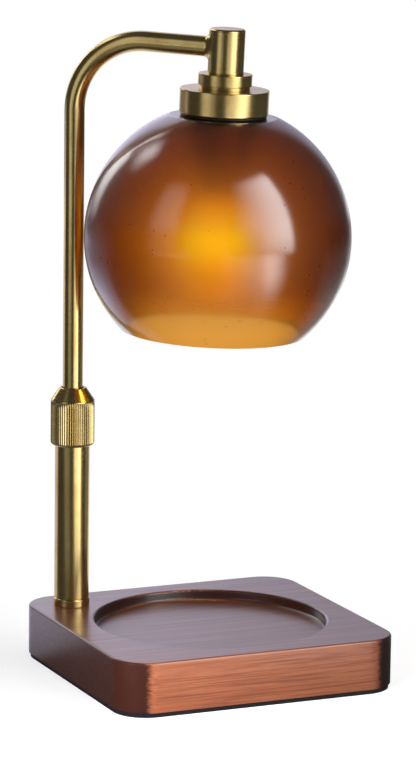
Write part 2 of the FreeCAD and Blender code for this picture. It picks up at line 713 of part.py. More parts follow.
def head_hub(doc):
    """The upright hub that the arm runs into, with the brazed fillet round the joint."""
    piece = Piece(doc, "head_hub", AT_HEAD)
    piece.turn([
        ("stud_radius + fit_gap", "-hub_below"),
        ("hub_radius", "-hub_below"),
        ("hub_radius", "hub_above"),
        ("hub_bore", "hub_above"),
        ("hub_bore", "hub_hollow_bottom"),
        ("stud_radius + fit_gap", "hub_hollow_bottom"),
    ])
    saddle = [
        ("-hub_radius - saddle_out", "0"),
        ("-hub_radius - saddle_out", "inner_tube_radius + 2 * fit_gap"),
        ("-saddle_radius", "saddle_radius"),
        ("-saddle_radius", "0"),
    ]
    piece.turn(saddle, axis="H_Axis")
    hole = piece.circles(piece.sketch("YZ_Plane"), ("0", "0", "inner_tube_radius + fit_gap"))
    piece.extrude(hole, "hub_radius + saddle_out", "Pocket")


def hub_cap(doc):
    """The cap that closes the hub."""
    piece = Piece(doc, "hub_cap", AT_HEAD)
    piece.turn([
        ("0", "hub_above - cap_spigot"),
        ("hub_bore - fit_gap", "hub_above - cap_spigot"),
        ("hub_bore - fit_gap", "hub_above"),
        ("hub_radius", "hub_above"),
        ("hub_radius", "hub_above + cap_thickness - cap_edge"),
        ("hub_radius - cap_edge", "hub_above + cap_thickness"),
        ("0", "hub_above + cap_thickness"),
    ])


def hub_nipple(doc):
    """The hollow threaded nipple that ties hub, collar, cup and lamp holder together."""
    Piece(doc, "hub_nipple", AT_HEAD).turn(ring("stud_bore", "stud_radius", "nipple_bottom", "nipple_top"))


def shade_collar(doc):
    """The turned collar between the hub and the cup."""
    piece = Piece(doc, "shade_collar", AT_HEAD)
    piece.turn([
        ("stud_radius + fit_gap", "cup_top"),
        ("collar_step_radius", "cup_top"),
        ("collar_step_radius", "collar_step_top"),
        ("collar_radius - small_edge", "collar_step_top"),
        ("collar_radius", "collar_step_top + small_edge"),
        ("collar_radius", "-hub_below - small_edge"),
        ("collar_radius - small_edge", "-hub_below"),
        ("stud_radius + fit_gap", "-hub_below"),
    ])


def socket_cup(doc):
    """The wide cup that hides the lamp holder and bears on the globe."""
    piece = Piece(doc, "socket_cup", AT_HEAD)
    piece.turn([
        ("stud_radius + fit_gap", "cup_ceiling"),
        ("cup_radius - cup_wall", "cup_ceiling"),
        ("cup_radius - cup_wall", "cup_bottom"),
        ("cup_radius - small_edge", "cup_bottom"),
        ("cup_radius", "cup_bottom + small_edge"),
        ("cup_radius", "cup_top - small_edge"),
        ("cup_radius - small_edge", "cup_top"),
        ("stud_radius + fit_gap", "cup_top"),
    ])


def shade_gasket(doc):
    """The dark gasket between the cup and the globe."""
    piece = Piece(doc, "shade_gasket", AT_HEAD)
    piece.turn(ring("fitter_radius", "gasket_radius", "gasket_bottom", "cup_bottom"))


def glass_shade(doc):
    """The glass globe, open below, with a flat shoulder and a hole for the lamp holder."""
    piece = Piece(doc, "glass_shade", AT_HEAD)
    outline = [
        ("fitter_radius", "gasket_bottom"),
        ("fitter_radius", "glass_ceiling"),
        ("glass_ceiling_radius", "glass_ceiling"),
        ("rim_bore", "rim_z"),
        ("rim_radius", "rim_z"),
        ("shoulder_radius", "gasket_bottom"),
    ]
    piece.turn(outline, {2: "-globe_bore", 4: "globe_radius"})
    rim = piece.value("rim_z")
    piece.round_edges(level_edges(rim), "rim_round")


def inner_gasket(doc):
    """The gasket between the globe and the ring that holds it."""
    piece = Piece(doc, "inner_gasket", AT_HEAD)
    piece.turn(ring("fitter_radius", "shade_ring_radius", "inner_gasket_bottom", "glass_ceiling"))


def shade_ring(doc):
    """The ring that screws on the lamp holder and holds the globe up against the cup."""
    piece = Piece(doc, "shade_ring", AT_HEAD)
    inner = "holder_radius + fit_gap"
    piece.turn(ring(inner, "shade_ring_radius", "shade_ring_bottom", "inner_gasket_bottom", "small_edge"))


def holder_sleeve(doc):
    """The threaded sleeve of the lamp holder, clamped under the cup."""
    piece = Piece(doc, "holder_sleeve", AT_HEAD)
    piece.turn([
        ("stud_radius + fit_gap", "holder_roof_bottom"),
        ("holder_bore", "holder_roof_bottom"),
        ("holder_bore", "holder_bottom"),
        ("holder_radius", "holder_bottom"),
        ("holder_radius", "cup_ceiling"),
        ("stud_radius + fit_gap", "cup_ceiling"),
    ])


def holder_ceramic(doc):
    """The ceramic of the lamp holder, with two curved slots that lock the bulb's pins."""
    piece = Piece(doc, "holder_ceramic", AT_HEAD)
    piece.turn([
        ("0", "ceramic_face"),
        ("holder_radius", "ceramic_face"),
        ("holder_radius", "holder_bottom"),
        ("holder_bore - fit_gap", "holder_bottom"),
        ("holder_bore - fit_gap", "ceramic_top"),
        ("wiring_radius", "ceramic_top"),
        ("wiring_radius", "wiring_floor"),
        ("0", "wiring_floor"),
    ])
    entry = ("pin_spread * cos(twist_angle)", "pin_spread * sin(twist_angle)", "head_slot")
    cuts = []
    for bottom, top, (x, y, radius) in (
        ("ceramic_face", "pin_neck_top", ("pin_spread", "0", "neck_slot")),
        ("undercut_bottom", "undercut_top", ("pin_spread", "0", "head_slot")),
        ("ceramic_face", "undercut_top", entry),
    ):
        hole = piece.circles(piece.sketch(offset=bottom), (x, y, radius))
        cuts.append(piece.extrude(hole, f"{top} - ({bottom})", "Pocket", flip=True))
    for bottom, top, half in (
        ("ceramic_face", "pin_neck_top", "neck_slot - slot_step"),
        ("undercut_bottom", "undercut_top - slot_step", "head_slot - slot_step"),
    ):
        section = ring(f"pin_spread - ({half})", f"pin_spread + {half}", bottom, top)
        cuts.append(piece.turn(section, kind="Groove", angle="twist_angle"))
    piece.repeat(cuts, "2")
    holes = piece.sketch(offset="undercut_top")
    for x in ("pin_spread", "-pin_spread"):
        piece.circles(holes, (x, "0", "contact_radius + fit_gap"))
    piece.extrude(holes, "wiring_floor - undercut_top", "Pocket", flip=True)


def holder_contacts(doc):
    """The two contacts: a strip on the ceramic's floor and a pin down to each lamp pin."""
    piece = Piece(doc, "holder_contacts", AT_HEAD, several=True)
    strips = piece.sketch(offset="wiring_floor")
    for inner, outer in (("contact_inner", "contact_outer"), ("-contact_outer", "-contact_inner")):
        low, high = "-contact_width / 2", "contact_width / 2"
        piece.draw(strips, [(inner, low), (outer, low), (outer, high), (inner, high)])
    piece.extrude(strips, "contact_strip")
    pins = piece.sketch(offset="contact_bottom")
    for x in ("pin_spread", "-pin_spread"):
        piece.circles(pins, (x, "0", "contact_radius"))
    piece.extrude(pins, "wiring_floor + contact_strip - (contact_bottom)")


# Bulb


def bulb_base(doc):
    """The ceramic base of the bulb."""
    piece = Piece(doc, "bulb_base", AT_HEAD)
    piece.turn([
        ("0", "bulb_top"),
        ("0", "bulb_socket_top"),
        ("reflector_neck + fit_gap", "bulb_socket_top"),
        ("reflector_neck + fit_gap", "bulb_base_bottom"),
        ("bulb_base_wide", "bulb_base_bottom"),
        ("bulb_base_radius", "bulb_top"),
    ])


def bulb_pins(doc):
    """The two headed pins that lock in the lamp holder."""
    piece = Piece(doc, "bulb_pins", AT_HEAD, several=True)
    for bottom, radius, length in (
        ("bulb_top", "pin_neck", "pin_neck_length"),
        ("pin_neck_top", "pin_head", "pin_head_length"),
    ):
        sketch = piece.sketch(offset=bottom)
        for x in ("pin_spread", "-pin_spread"):
            piece.circles(sketch, (x, "0", radius))
        piece.extrude(sketch, length)


def bulb_reflector(doc):
    """The flared reflector of the bulb."""
    piece = Piece(doc, "bulb_reflector", AT_HEAD)
    outline = [
        ("reflector_neck", "bulb_socket_top"),
        ("reflector_neck", "bulb_base_bottom"),
        ("reflector_radius", "reflector_band_top"),
        ("reflector_radius", "reflector_bottom"),
        ("reflector_radius - reflector_wall", "reflector_bottom"),
        ("reflector_radius - reflector_wall", "reflector_band_top"),
        ("reflector_neck - reflector_wall", "bulb_base_bottom"),
        ("reflector_neck - reflector_wall", "bulb_socket_top"),
    ]
    piece.turn(outline, {1: "-reflector_belly", 5: "reflector_belly"})


def bulb_lens(doc):
    """The front glass of the bulb."""
    piece = Piece(doc, "bulb_lens", AT_HEAD)
    low = "reflector_bottom - lens_thickness"
    piece.turn([
        ("0", low),
        ("reflector_radius - reflector_wall", low),
        ("reflector_radius - small_edge", "reflector_bottom"),
        ("0", "reflector_bottom"),
    ])


def bulb_capsule(doc):
    """The burner capsule inside the reflector."""
    piece = Piece(doc, "bulb_capsule", AT_HEAD)
    tip = "bulb_socket_top - capsule_length"
    piece.turn([
        ("0", "bulb_socket_top"),
        ("0", tip),
        ("capsule_radius / 3", tip),
        ("capsule_radius", f"{tip} + capsule_radius"),
        ("capsule_radius", "bulb_socket_top"),
    ])


def build(doc):
    """Every sub-part of the lamp."""
    for make in (wooden_base, base_pad, cord_inlet_bushing, supply_lead, base_stud, stud_washer):
        make(doc)
    hexagon_nut(doc, "stud_nut", AT_POST, "stud_nut_bottom", "stud_nut_height")
    for make in (foot_collar, lower_tube, clamp_seat, split_ring, clamp_nut):
        make(doc)
    for make in (guide_bush, tube_retainers, arm_tube, head_lead):
        make(doc)
    for make in (head_hub, hub_cap, hub_nipple, shade_collar, socket_cup):
        make(doc)
    hexagon_nut(doc, "nipple_nut", AT_HEAD, "nipple_nut_bottom", "nipple_nut_height")
    for make in (shade_gasket, glass_shade, inner_gasket, shade_ring):
        make(doc)
    for make in (holder_sleeve, holder_ceramic, holder_contacts):
        make(doc)
    for make in (bulb_base, bulb_pins, bulb_reflector, bulb_lens, bulb_capsule):
        make(doc)


def check(doc):
    """Stop if any object failed or any sub-part has no sound shape."""
    for item in doc.Objects:
        if {"Invalid", "Error"} & set(item.State):
            raise RuntimeError(f"{item.Label} failed: {item.State}")
    for body in doc.findObjects("PartDesign::Body"):
        if body.Shape.isNull() or not body.Shape.Solids or not body.Shape.isValid():
            raise RuntimeError(f"{body.Label} has no sound shape")


def export(doc):
    """One STEP file for each sub-part, named by its label."""
    os.makedirs("parts", exist_ok=True)
    for body in doc.findObjects("PartDesign::Body"):
        body.Shape.exportStep(f"parts/{body.Label}.step")
        print(f"{body.Label}: {len(body.Shape.Solids)} solid(s), {body.Shape.Volume:.1f} mm3")


def main():
    """Build the lamp, check it and write its sub-parts."""
    doc = FreeCAD.newDocument("CandleWarmerLamp")
    make_sheet(doc)
    build(doc)
    doc.recompute()
    check(doc)
    export(doc)


main()
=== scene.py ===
"""The dressed model of a candle warmer lamp: its pieces, their finishes, the studio and the camera.

Sizes are in millimetres in the lamp's own frame, with +Z up and the origin on the table under the
middle of the base, and become metres where a mesh is made.
"""

import logging
import math
from abc import ABC, abstractmethod
from collections.abc import Sequence
from dataclasses import dataclass, field
from enum import Enum
from functools import partial, reduce

import bmesh
import bpy
from mathutils import Matrix, Vector


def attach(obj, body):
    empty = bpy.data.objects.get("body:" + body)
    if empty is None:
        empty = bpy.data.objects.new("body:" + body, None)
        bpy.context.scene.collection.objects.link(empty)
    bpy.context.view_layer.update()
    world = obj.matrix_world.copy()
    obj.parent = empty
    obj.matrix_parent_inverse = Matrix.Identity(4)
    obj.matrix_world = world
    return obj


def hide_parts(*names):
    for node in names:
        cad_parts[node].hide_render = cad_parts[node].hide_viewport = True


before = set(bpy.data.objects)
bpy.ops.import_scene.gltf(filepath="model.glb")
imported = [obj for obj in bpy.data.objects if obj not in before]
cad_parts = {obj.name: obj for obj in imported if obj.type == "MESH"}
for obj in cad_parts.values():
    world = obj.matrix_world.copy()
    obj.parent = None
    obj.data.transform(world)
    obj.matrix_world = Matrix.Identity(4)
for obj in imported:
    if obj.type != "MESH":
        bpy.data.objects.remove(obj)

LOG = logging.getLogger("lamp")
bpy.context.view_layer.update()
MM = 0.001
WRAP = "wrap"
SHARP_ANGLE = math.radians(40)
ROUND_STEPS = 5
HOLD = 0.35
HOLD_SHARE = 2.2
LEAST_HOLD = 0.01
TINY = 1e-6
WHITE = (1.0, 1.0, 1.0)
RANGE_ENDS = ("From Min", "From Max", "To Min", "To Max")
EASING = {False: "LINEAR", True: "SMOOTHSTEP"}

Socket = bpy.types.NodeSocket
Value = Socket | float
Span = tuple[float, float]
Colour = tuple[float, float, float]
Outline = list[Span]


class Body(Enum):
    """The bodies that the rebuilt pieces move with."""

    BASE = "base"
    ARM = "arm"
    NUT = "clamp_nut"
    BULB = "bulb"


class Grain(Enum):
    """Which way the fine lines of a worked surface run."""

    AROUND = "around"
    ALONG = "along"
    SOLID = "solid"


# Node trees


class Tree:
    """Adds and links the nodes of one material or of the world."""

    def __init__(self, tree: bpy.types.NodeTree) -> None:
        """Start from an empty tree.

        Args:
            tree: The node tree to fill.
        """
        tree.nodes.clear()
        self.tree = tree

    def node(self, kind: str, inputs: dict | None = None, **settings: object) -> bpy.types.Node:
        """Add a node.

        Args:
            kind: The node's type without its ShaderNode prefix.
            inputs: Values or sockets by input name or number.
            **settings: The node's own properties.

        Returns:
            The node.
        """
        made = self.tree.nodes.new("ShaderNode" + kind)
        for key, value in settings.items():
            setattr(made, key, value)
        for key, value in (inputs or {}).items():
            if isinstance(value, Socket):
                self.tree.links.new(value, made.inputs[key])
            elif made.inputs[key].type == "RGBA":
                made.inputs[key].default_value = (*value, 1.0)
            else:
                made.inputs[key].default_value = value
        return made

    def noise(self, vector: Socket, scale: float, detail: float = 2.0, distortion: float = 0.0) -> Socket:
        """The value of a noise texture."""
        inputs = {"Vector": vector, "Scale": scale, "Detail": detail, "Distortion": distortion}
        return self.node("TexNoise", inputs).outputs[0]

    def stretch(self, vector: Socket, scale: Sequence[float]) -> Socket:
        """A vector scaled along its axes."""
        return self.node("Mapping", {"Vector": vector, "Scale": scale}).outputs[0]

    def remap(self, value: Socket, source: Span, target: Span, smooth: bool = False) -> Socket:
        """A range of values mapped to another, eased in and out where it is smooth."""
        inputs = {"Value": value, **dict(zip(RANGE_ENDS, (*source, *target)))}
        return self.node("MapRange", inputs, interpolation_type=EASING[smooth]).outputs[0]

    def fade(self, value: Socket, source: Span) -> Socket:
        """A smooth change from 0 to 1 over a range of values."""
        return self.remap(value, source, (0.0, 1.0), smooth=True)

    def math(self, operation: str, first: Value, second: Value = 0.0) -> Socket:
        """The value of a math node."""
        return self.node("Math", {0: first, 1: second}, operation=operation).outputs[0]

    def plus(self, *values: Value) -> Socket:
        """The sum of values."""
        return reduce(partial(self.math, "ADD"), values)

    def minus(self, first: Value, second: Value) -> Socket:
        """The difference of two values."""
        return self.math("SUBTRACT", first, second)

    def times(self, *values: Value) -> Socket:
        """The product of values."""
        return reduce(partial(self.math, "MULTIPLY"), values)

    def over(self, first: Value, second: Value) -> Socket:
        """The quotient of two values."""
        return self.math("DIVIDE", first, second)

    def dot(self, vector: Socket, way: Sequence[float]) -> Socket:
        """How far a vector reaches in a direction."""
        inputs = {0: vector, 1: tuple(way)}
        return self.node("VectorMath", inputs, operation="DOT_PRODUCT").outputs["Value"]

    def length(self, vector: Socket) -> Socket:
        """The length of a vector."""
        return self.node("VectorMath", {0: vector}, operation="LENGTH").outputs["Value"]

    def part(self, vector: Socket, axis: str) -> Socket:
        """One of a vector's three parts."""
        return self.node("SeparateXYZ", {0: vector}).outputs[axis]

    def mix(self, factor: Value, first: Value, second: Value) -> Socket:
        """Two values mixed."""
        return self.node("Mix", {0: factor, 2: first, 3: second}, data_type="FLOAT").outputs[0]

    def blend(self, factor: Value, first: Socket | Colour, second: Socket | Colour) -> Socket:
        """Two colours mixed."""
        return self.node("Mix", {0: factor, 6: first, 7: second}, data_type="RGBA").outputs[2]

    def shaders(self, factor: Value, first: Socket, second: Socket) -> Socket:
        """Two shaders mixed."""
        return self.node("MixShader", {0: factor, 1: first, 2: second}).outputs[0]

    def shader(self, kind: str, inputs: dict | None = None) -> Socket:
        """One plain shader."""
        return self.node(kind, inputs).outputs[0]

    def ramp(self, value: Socket, stops: Sequence[tuple[float, Colour]]) -> Socket:
        """Turn a value into a colour.

        Args:
            value: The value.
            stops: Colours by value.

        Returns:
            The colour.
        """
        made = self.node("ValToRGB", {0: value})
        elements = made.color_ramp.elements
        while len(elements) < len(stops):
            elements.new(0.5)
        for element, (position, colour) in zip(elements, stops):
            element.position = position
            element.color = (*colour, 1.0)
        return made.outputs[0]

    def bump(self, height: Socket, depth: float, **under: Socket) -> Socket:
        """The normal of a bump of a depth in mm, over another Normal if there is one."""
        inputs = {"Height": height, "Distance": depth * MM, "Strength": 1.0, **under}
        return self.node("Bump", inputs).outputs[0]

    def place(self) -> Socket:
        """The point on the piece in mm of the lamp's frame."""
        return self.stretch(self.node("TexCoord").outputs["Object"], (1 / MM,) * 3)

    def output(self, surface: Socket, **others: Socket) -> None:
        """Finish the material with a shader, and others such as its Volume."""
        self.node("OutputMaterial", {"Surface": surface, **others})

    def surface(self, inputs: dict, **others: Socket) -> None:
        """Finish the material with one surface shader, and others such as its Volume."""
        self.output(self.shader("BsdfPrincipled", inputs), **others)


def new_material(name: str) -> tuple[bpy.types.Material, Tree]:
    """Make a material.

    Args:
        name: Its name.

    Returns:
        The material and its empty tree.
    """
    made = bpy.data.materials.new(name)
    made.use_nodes = True
    return made, Tree(made.node_tree)


# Finishes


@dataclass(frozen=True)
class Finish(ABC):
    """A finish of the lamp.

    Attributes:
        name: Name of its material.
        slot: The record's material slot that it belongs to; not used.
    """

    name: str
    slot: str

    @abstractmethod
    def paint(self, tree: Tree) -> None:
        """Fill the material's node tree."""

    def material(self) -> bpy.types.Material:
        """Make the finish's material the first time that it is asked for.

        Returns:
            The material.
        """
        title = "finish_" + self.name
        made = bpy.data.materials.get(title)
        if made is None:
            made, tree = new_material(title)
            self.paint(tree)
        return made


@dataclass(frozen=True)
class WorkedMetal(Finish):
    """Metal with fine lines from brushing, turning or drawing.

    Attributes:
        colour: Colour of the clean metal.
        aged: Colour where handling has dulled it.
        grain: Which way the fine lines run.
        rough: Lowest and highest roughness.
        line: Width of a fine line in mm.
        broad: How many times wider a broad line is.
        run: Changes along a line by mm.
        cast: Changes of solid grain along the axes by mm.
        depth: Depth of the lines in mm.
        smudge: Changes of the dulling by mm.
        smudged: Levels of its noise where it begins and is full.
        shares: Shares of fine lines, broad lines and dulling in the wear.
        worn: Levels of the wear with the lowest and highest roughness.
    """

    colour: Colour
    aged: Colour
    grain: Grain = Grain.AROUND
    rough: Span = (0.17, 0.27)
    line: float = 0.14
    broad: float = 7.0
    run: float = 0.02
    cast: tuple[float, float, float] = (0.1, 0.1, 1.0)
    depth: float = 0.004
    smudge: float = 0.06
    smudged: Span = (0.42, 0.72)
    shares: tuple[float, float, float] = (0.45, 0.3, 0.25)
    worn: Span = (0.35, 0.65)

    def lines(self, tree: Tree, width: float) -> Socket:
        """Draw streaks that are long along the grain.

        Args:
            tree: The material's tree.
            width: Their width in mm.

        Returns:
            Their value.
        """
        if self.grain is Grain.SOLID:
            return tree.noise(tree.stretch(tree.place(), self.cast), 1 / width)
        scale = (self.run, 1 / width, 1.0) if self.grain is Grain.AROUND else (1 / width, self.run, 1.0)
        return tree.noise(tree.stretch(tree.node("UVMap", uv_map=WRAP).outputs[0], scale), 1.0)

    def paint(self, tree: Tree) -> None:
        """Streaked, slightly uneven metal.

        Args:
            tree: The material's tree.
        """
        fine, broad = self.lines(tree, self.line), self.lines(tree, self.line * self.broad)
        smudge = tree.noise(tree.place(), self.smudge, 3.0, 0.4)
        dulled = tree.remap(smudge, self.smudged, (0.0, 1.0))
        wear = tree.plus(*(tree.times(*pair) for pair in zip((fine, broad, smudge), self.shares)))
        tree.surface(
            {
                "Base Color": tree.blend(dulled, self.colour, self.aged),
                "Metallic": 1.0,
                "Roughness": tree.remap(wear, self.worn, self.rough),
                "Normal": tree.bump(fine, self.depth),
            }
        )


@dataclass(frozen=True)
class Mark:
    """One kind of mark in the wood's grain.

    Attributes:
        speed: Changes along the axes by mm.
        detail: How much finer detail it has.
        warp: How far it is distorted.
        levels: Levels of its noise where it begins and is full.
        full: How strong it is there.
    """

    speed: tuple[float, float, float]
    detail: float = 2.0
    warp: float = 0.0
    levels: Span = (0.3, 0.7)
    full: float = 1.0

    def noise(self, tree: Tree, place: Socket) -> Socket:
        """The mark's noise."""
        return tree.noise(tree.stretch(place, self.speed), 1.0, self.detail, self.warp)

    def drawn(self, tree: Tree, noise: Socket) -> Socket:
        """How strong the mark is for a level of its noise."""
        return tree.remap(noise, self.levels, (0.0, self.full), smooth=True)


@dataclass(frozen=True)
class StainedWood(Finish):
    """Straight-grained wood under a satin lacquer, its stain deepest where the grain is cut across, with
    painted shade there too and on the top and the recess's wall.

    Attributes:
        dark: Colour of the dark grain lines.
        body: Colour of the stained wood.
        light: Colour of the palest streaks.
        end_grain_and_shade: Colour of the end grain, also used as painted shade on the ends, their
            rounded corners and the top.
        hollow: Colour of the painted shade on the recess's wall.
        recess: Radius of the recess and its rounding in mm.
        recess_shift: How far it is from the middle, to the right and to the front.
        wander: Broad changes of tone.
        streak: Streaks.
        shares: Shares of streaks and broad changes in the tone.
        tones: Levels of the tone with the body's colour and the palest.
        marks: Dark lines, thinner lines and pores.
        ragged: Uneven edge of the end grain and its painted shade.
        edge: How far that edge wanders, as a slope.
        cut: Slopes where the end grain and its painted shade begin and are full.
        end_grain_shade_share: Share of that dark colour there.
        wall: Slopes where the recess's wall, and its painted shade, begins and is full.
        upward: Slopes where the top begins and is level.
        top_lines: Share of the lines that shows on the top.
        top_shade: Share of the dark colour painted on the top as shade.
        rough: Lowest and highest roughness.
        lacquer: Roughness of the lacquer.
        depth: Depth of the grain in mm.
    """

    dark: Colour = (0.13, 0.028, 0.016)
    body: Colour = (0.29, 0.085, 0.036)
    light: Colour = (0.37, 0.120, 0.053)
    # The end grain's darker stain, also painted shade on the ends, their rounded corners and the top.
    end_grain_and_shade: Colour = (0.023, 0.005, 0.0035)
    # Painted shade on the recess's wall.
    hollow: Colour = (0.022, 0.004, 0.003)
    recess: float = 60.1
    recess_shift: float = 1.0
    wander: Mark = Mark((0.012, 0.03, 0.05))
    streak: Mark = Mark((0.014, 0.3, 0.42), 3.0, 0.4)
    shares: Span = (0.6, 0.4)
    tones: Span = (0.38, 0.62)
    marks: tuple[Mark, ...] = (
        Mark((0.018, 0.9, 0.95), 1.6, 0.12, (0.54, 0.66), 0.6),
        Mark((0.035, 1.9, 2.0), 1.0, 0.1, (0.52, 0.68), 0.5),
        Mark((0.2, 3.2, 3.6), 1.0, 0.0, (0.56, 0.7), 0.3),
    )
    ragged: Mark = Mark((0.1, 1.0, 1.4))
    edge: float = 0.05
    cut: Span = (0.17, 0.38)
    end_grain_shade_share: float = 0.96
    wall: Span = (0.85, 0.4)
    upward: Span = (0.5, 0.9)
    top_lines: float = 0.15
    top_shade: float = 0.35
    rough: Span = (0.36, 0.5)
    lacquer: float = 0.24
    depth: float = 0.012

    def end_grain_and_corner_shade(self, tree: Tree, place: Socket, normal: Socket) -> Socket:
        """Find where the grain is cut across, where painted shade also falls on the ends and their
        rounded corners.

        Args:
            tree: The material's tree.
            place: The point on the wood.
            normal: The surface's direction.

        Returns:
            How far the surface is end grain under painted shade, from 0 to 1.
        """
        ragged = tree.remap(self.ragged.noise(tree, place), self.ragged.levels, (-self.edge, self.edge))
        slope = tree.plus(tree.math("ABSOLUTE", tree.part(normal, "X")), ragged)
        return tree.remap(slope, self.cut, (0.0, self.end_grain_shade_share), smooth=True)

    def painted_recess_shade(self, tree: Tree, place: Socket, up: Socket) -> Socket:
        """Find the recess's wall, where shade is painted.

        Args:
            tree: The material's tree.
            place: The point on the wood.
            up: How far the surface faces up.

        Returns:
            How far the surface is that wall under painted shade, from 0 to 1.
        """
        middle = (-self.recess_shift, self.recess_shift, 0.0)
        spoke = tree.node("VectorMath", {0: place, 1: middle}, operation="ADD").outputs[0]
        inside = tree.math("LESS_THAN", tree.length(tree.stretch(spoke, (1.0, 1.0, 0.0))), self.recess)
        return tree.times(inside, tree.fade(up, self.wall))

    def paint(self, tree: Tree) -> None:
        """Broad streaks, thin dark lines and short pores along X, under lacquer, with painted shade on
        the top, the ends and the recess's wall.

        Args:
            tree: The material's tree.
        """
        place = tree.place()
        normal = tree.node("TexCoord").outputs["Normal"]
        up = tree.part(normal, "Z")
        broad = (self.streak.noise(tree, place), self.wander.noise(tree, place))
        tone = tree.plus(*(tree.times(*pair) for pair in zip(broad, self.shares)))
        fine = [mark.noise(tree, place) for mark in self.marks]
        drawn = [mark.drawn(tree, noise) for mark, noise in zip(self.marks, fine)]
        shown = tree.remap(up, self.upward, (1.0, self.top_lines))
        drawn = tree.times(reduce(partial(tree.math, "MAXIMUM"), drawn), shown)
        colour = tree.ramp(tone, tuple(zip(self.tones, (self.body, self.light))))
        for share, over in (
            (drawn, self.dark),
            # Painted shade on the top.
            (tree.remap(up, self.upward, (0.0, self.top_shade)), self.end_grain_and_shade),
            # The end grain's darker stain, with painted shade on the ends and their rounded corners.
            (self.end_grain_and_corner_shade(tree, place, normal), self.end_grain_and_shade),
            # Painted shade on the recess's wall.
            (self.painted_recess_shade(tree, place, up), self.hollow),
        ):
            colour = tree.blend(share, colour, over)
        tree.surface(
            {
                "Base Color": colour,
                "Roughness": tree.remap(fine[0], (0.3, 0.7), self.rough),
                "Specular IOR Level": 0.4,
                "Coat Weight": 1.0,
                "Coat Roughness": self.lacquer,
                "Normal": tree.bump(tree.times(tree.minus(tone, drawn), shown), self.depth),
            }
        )


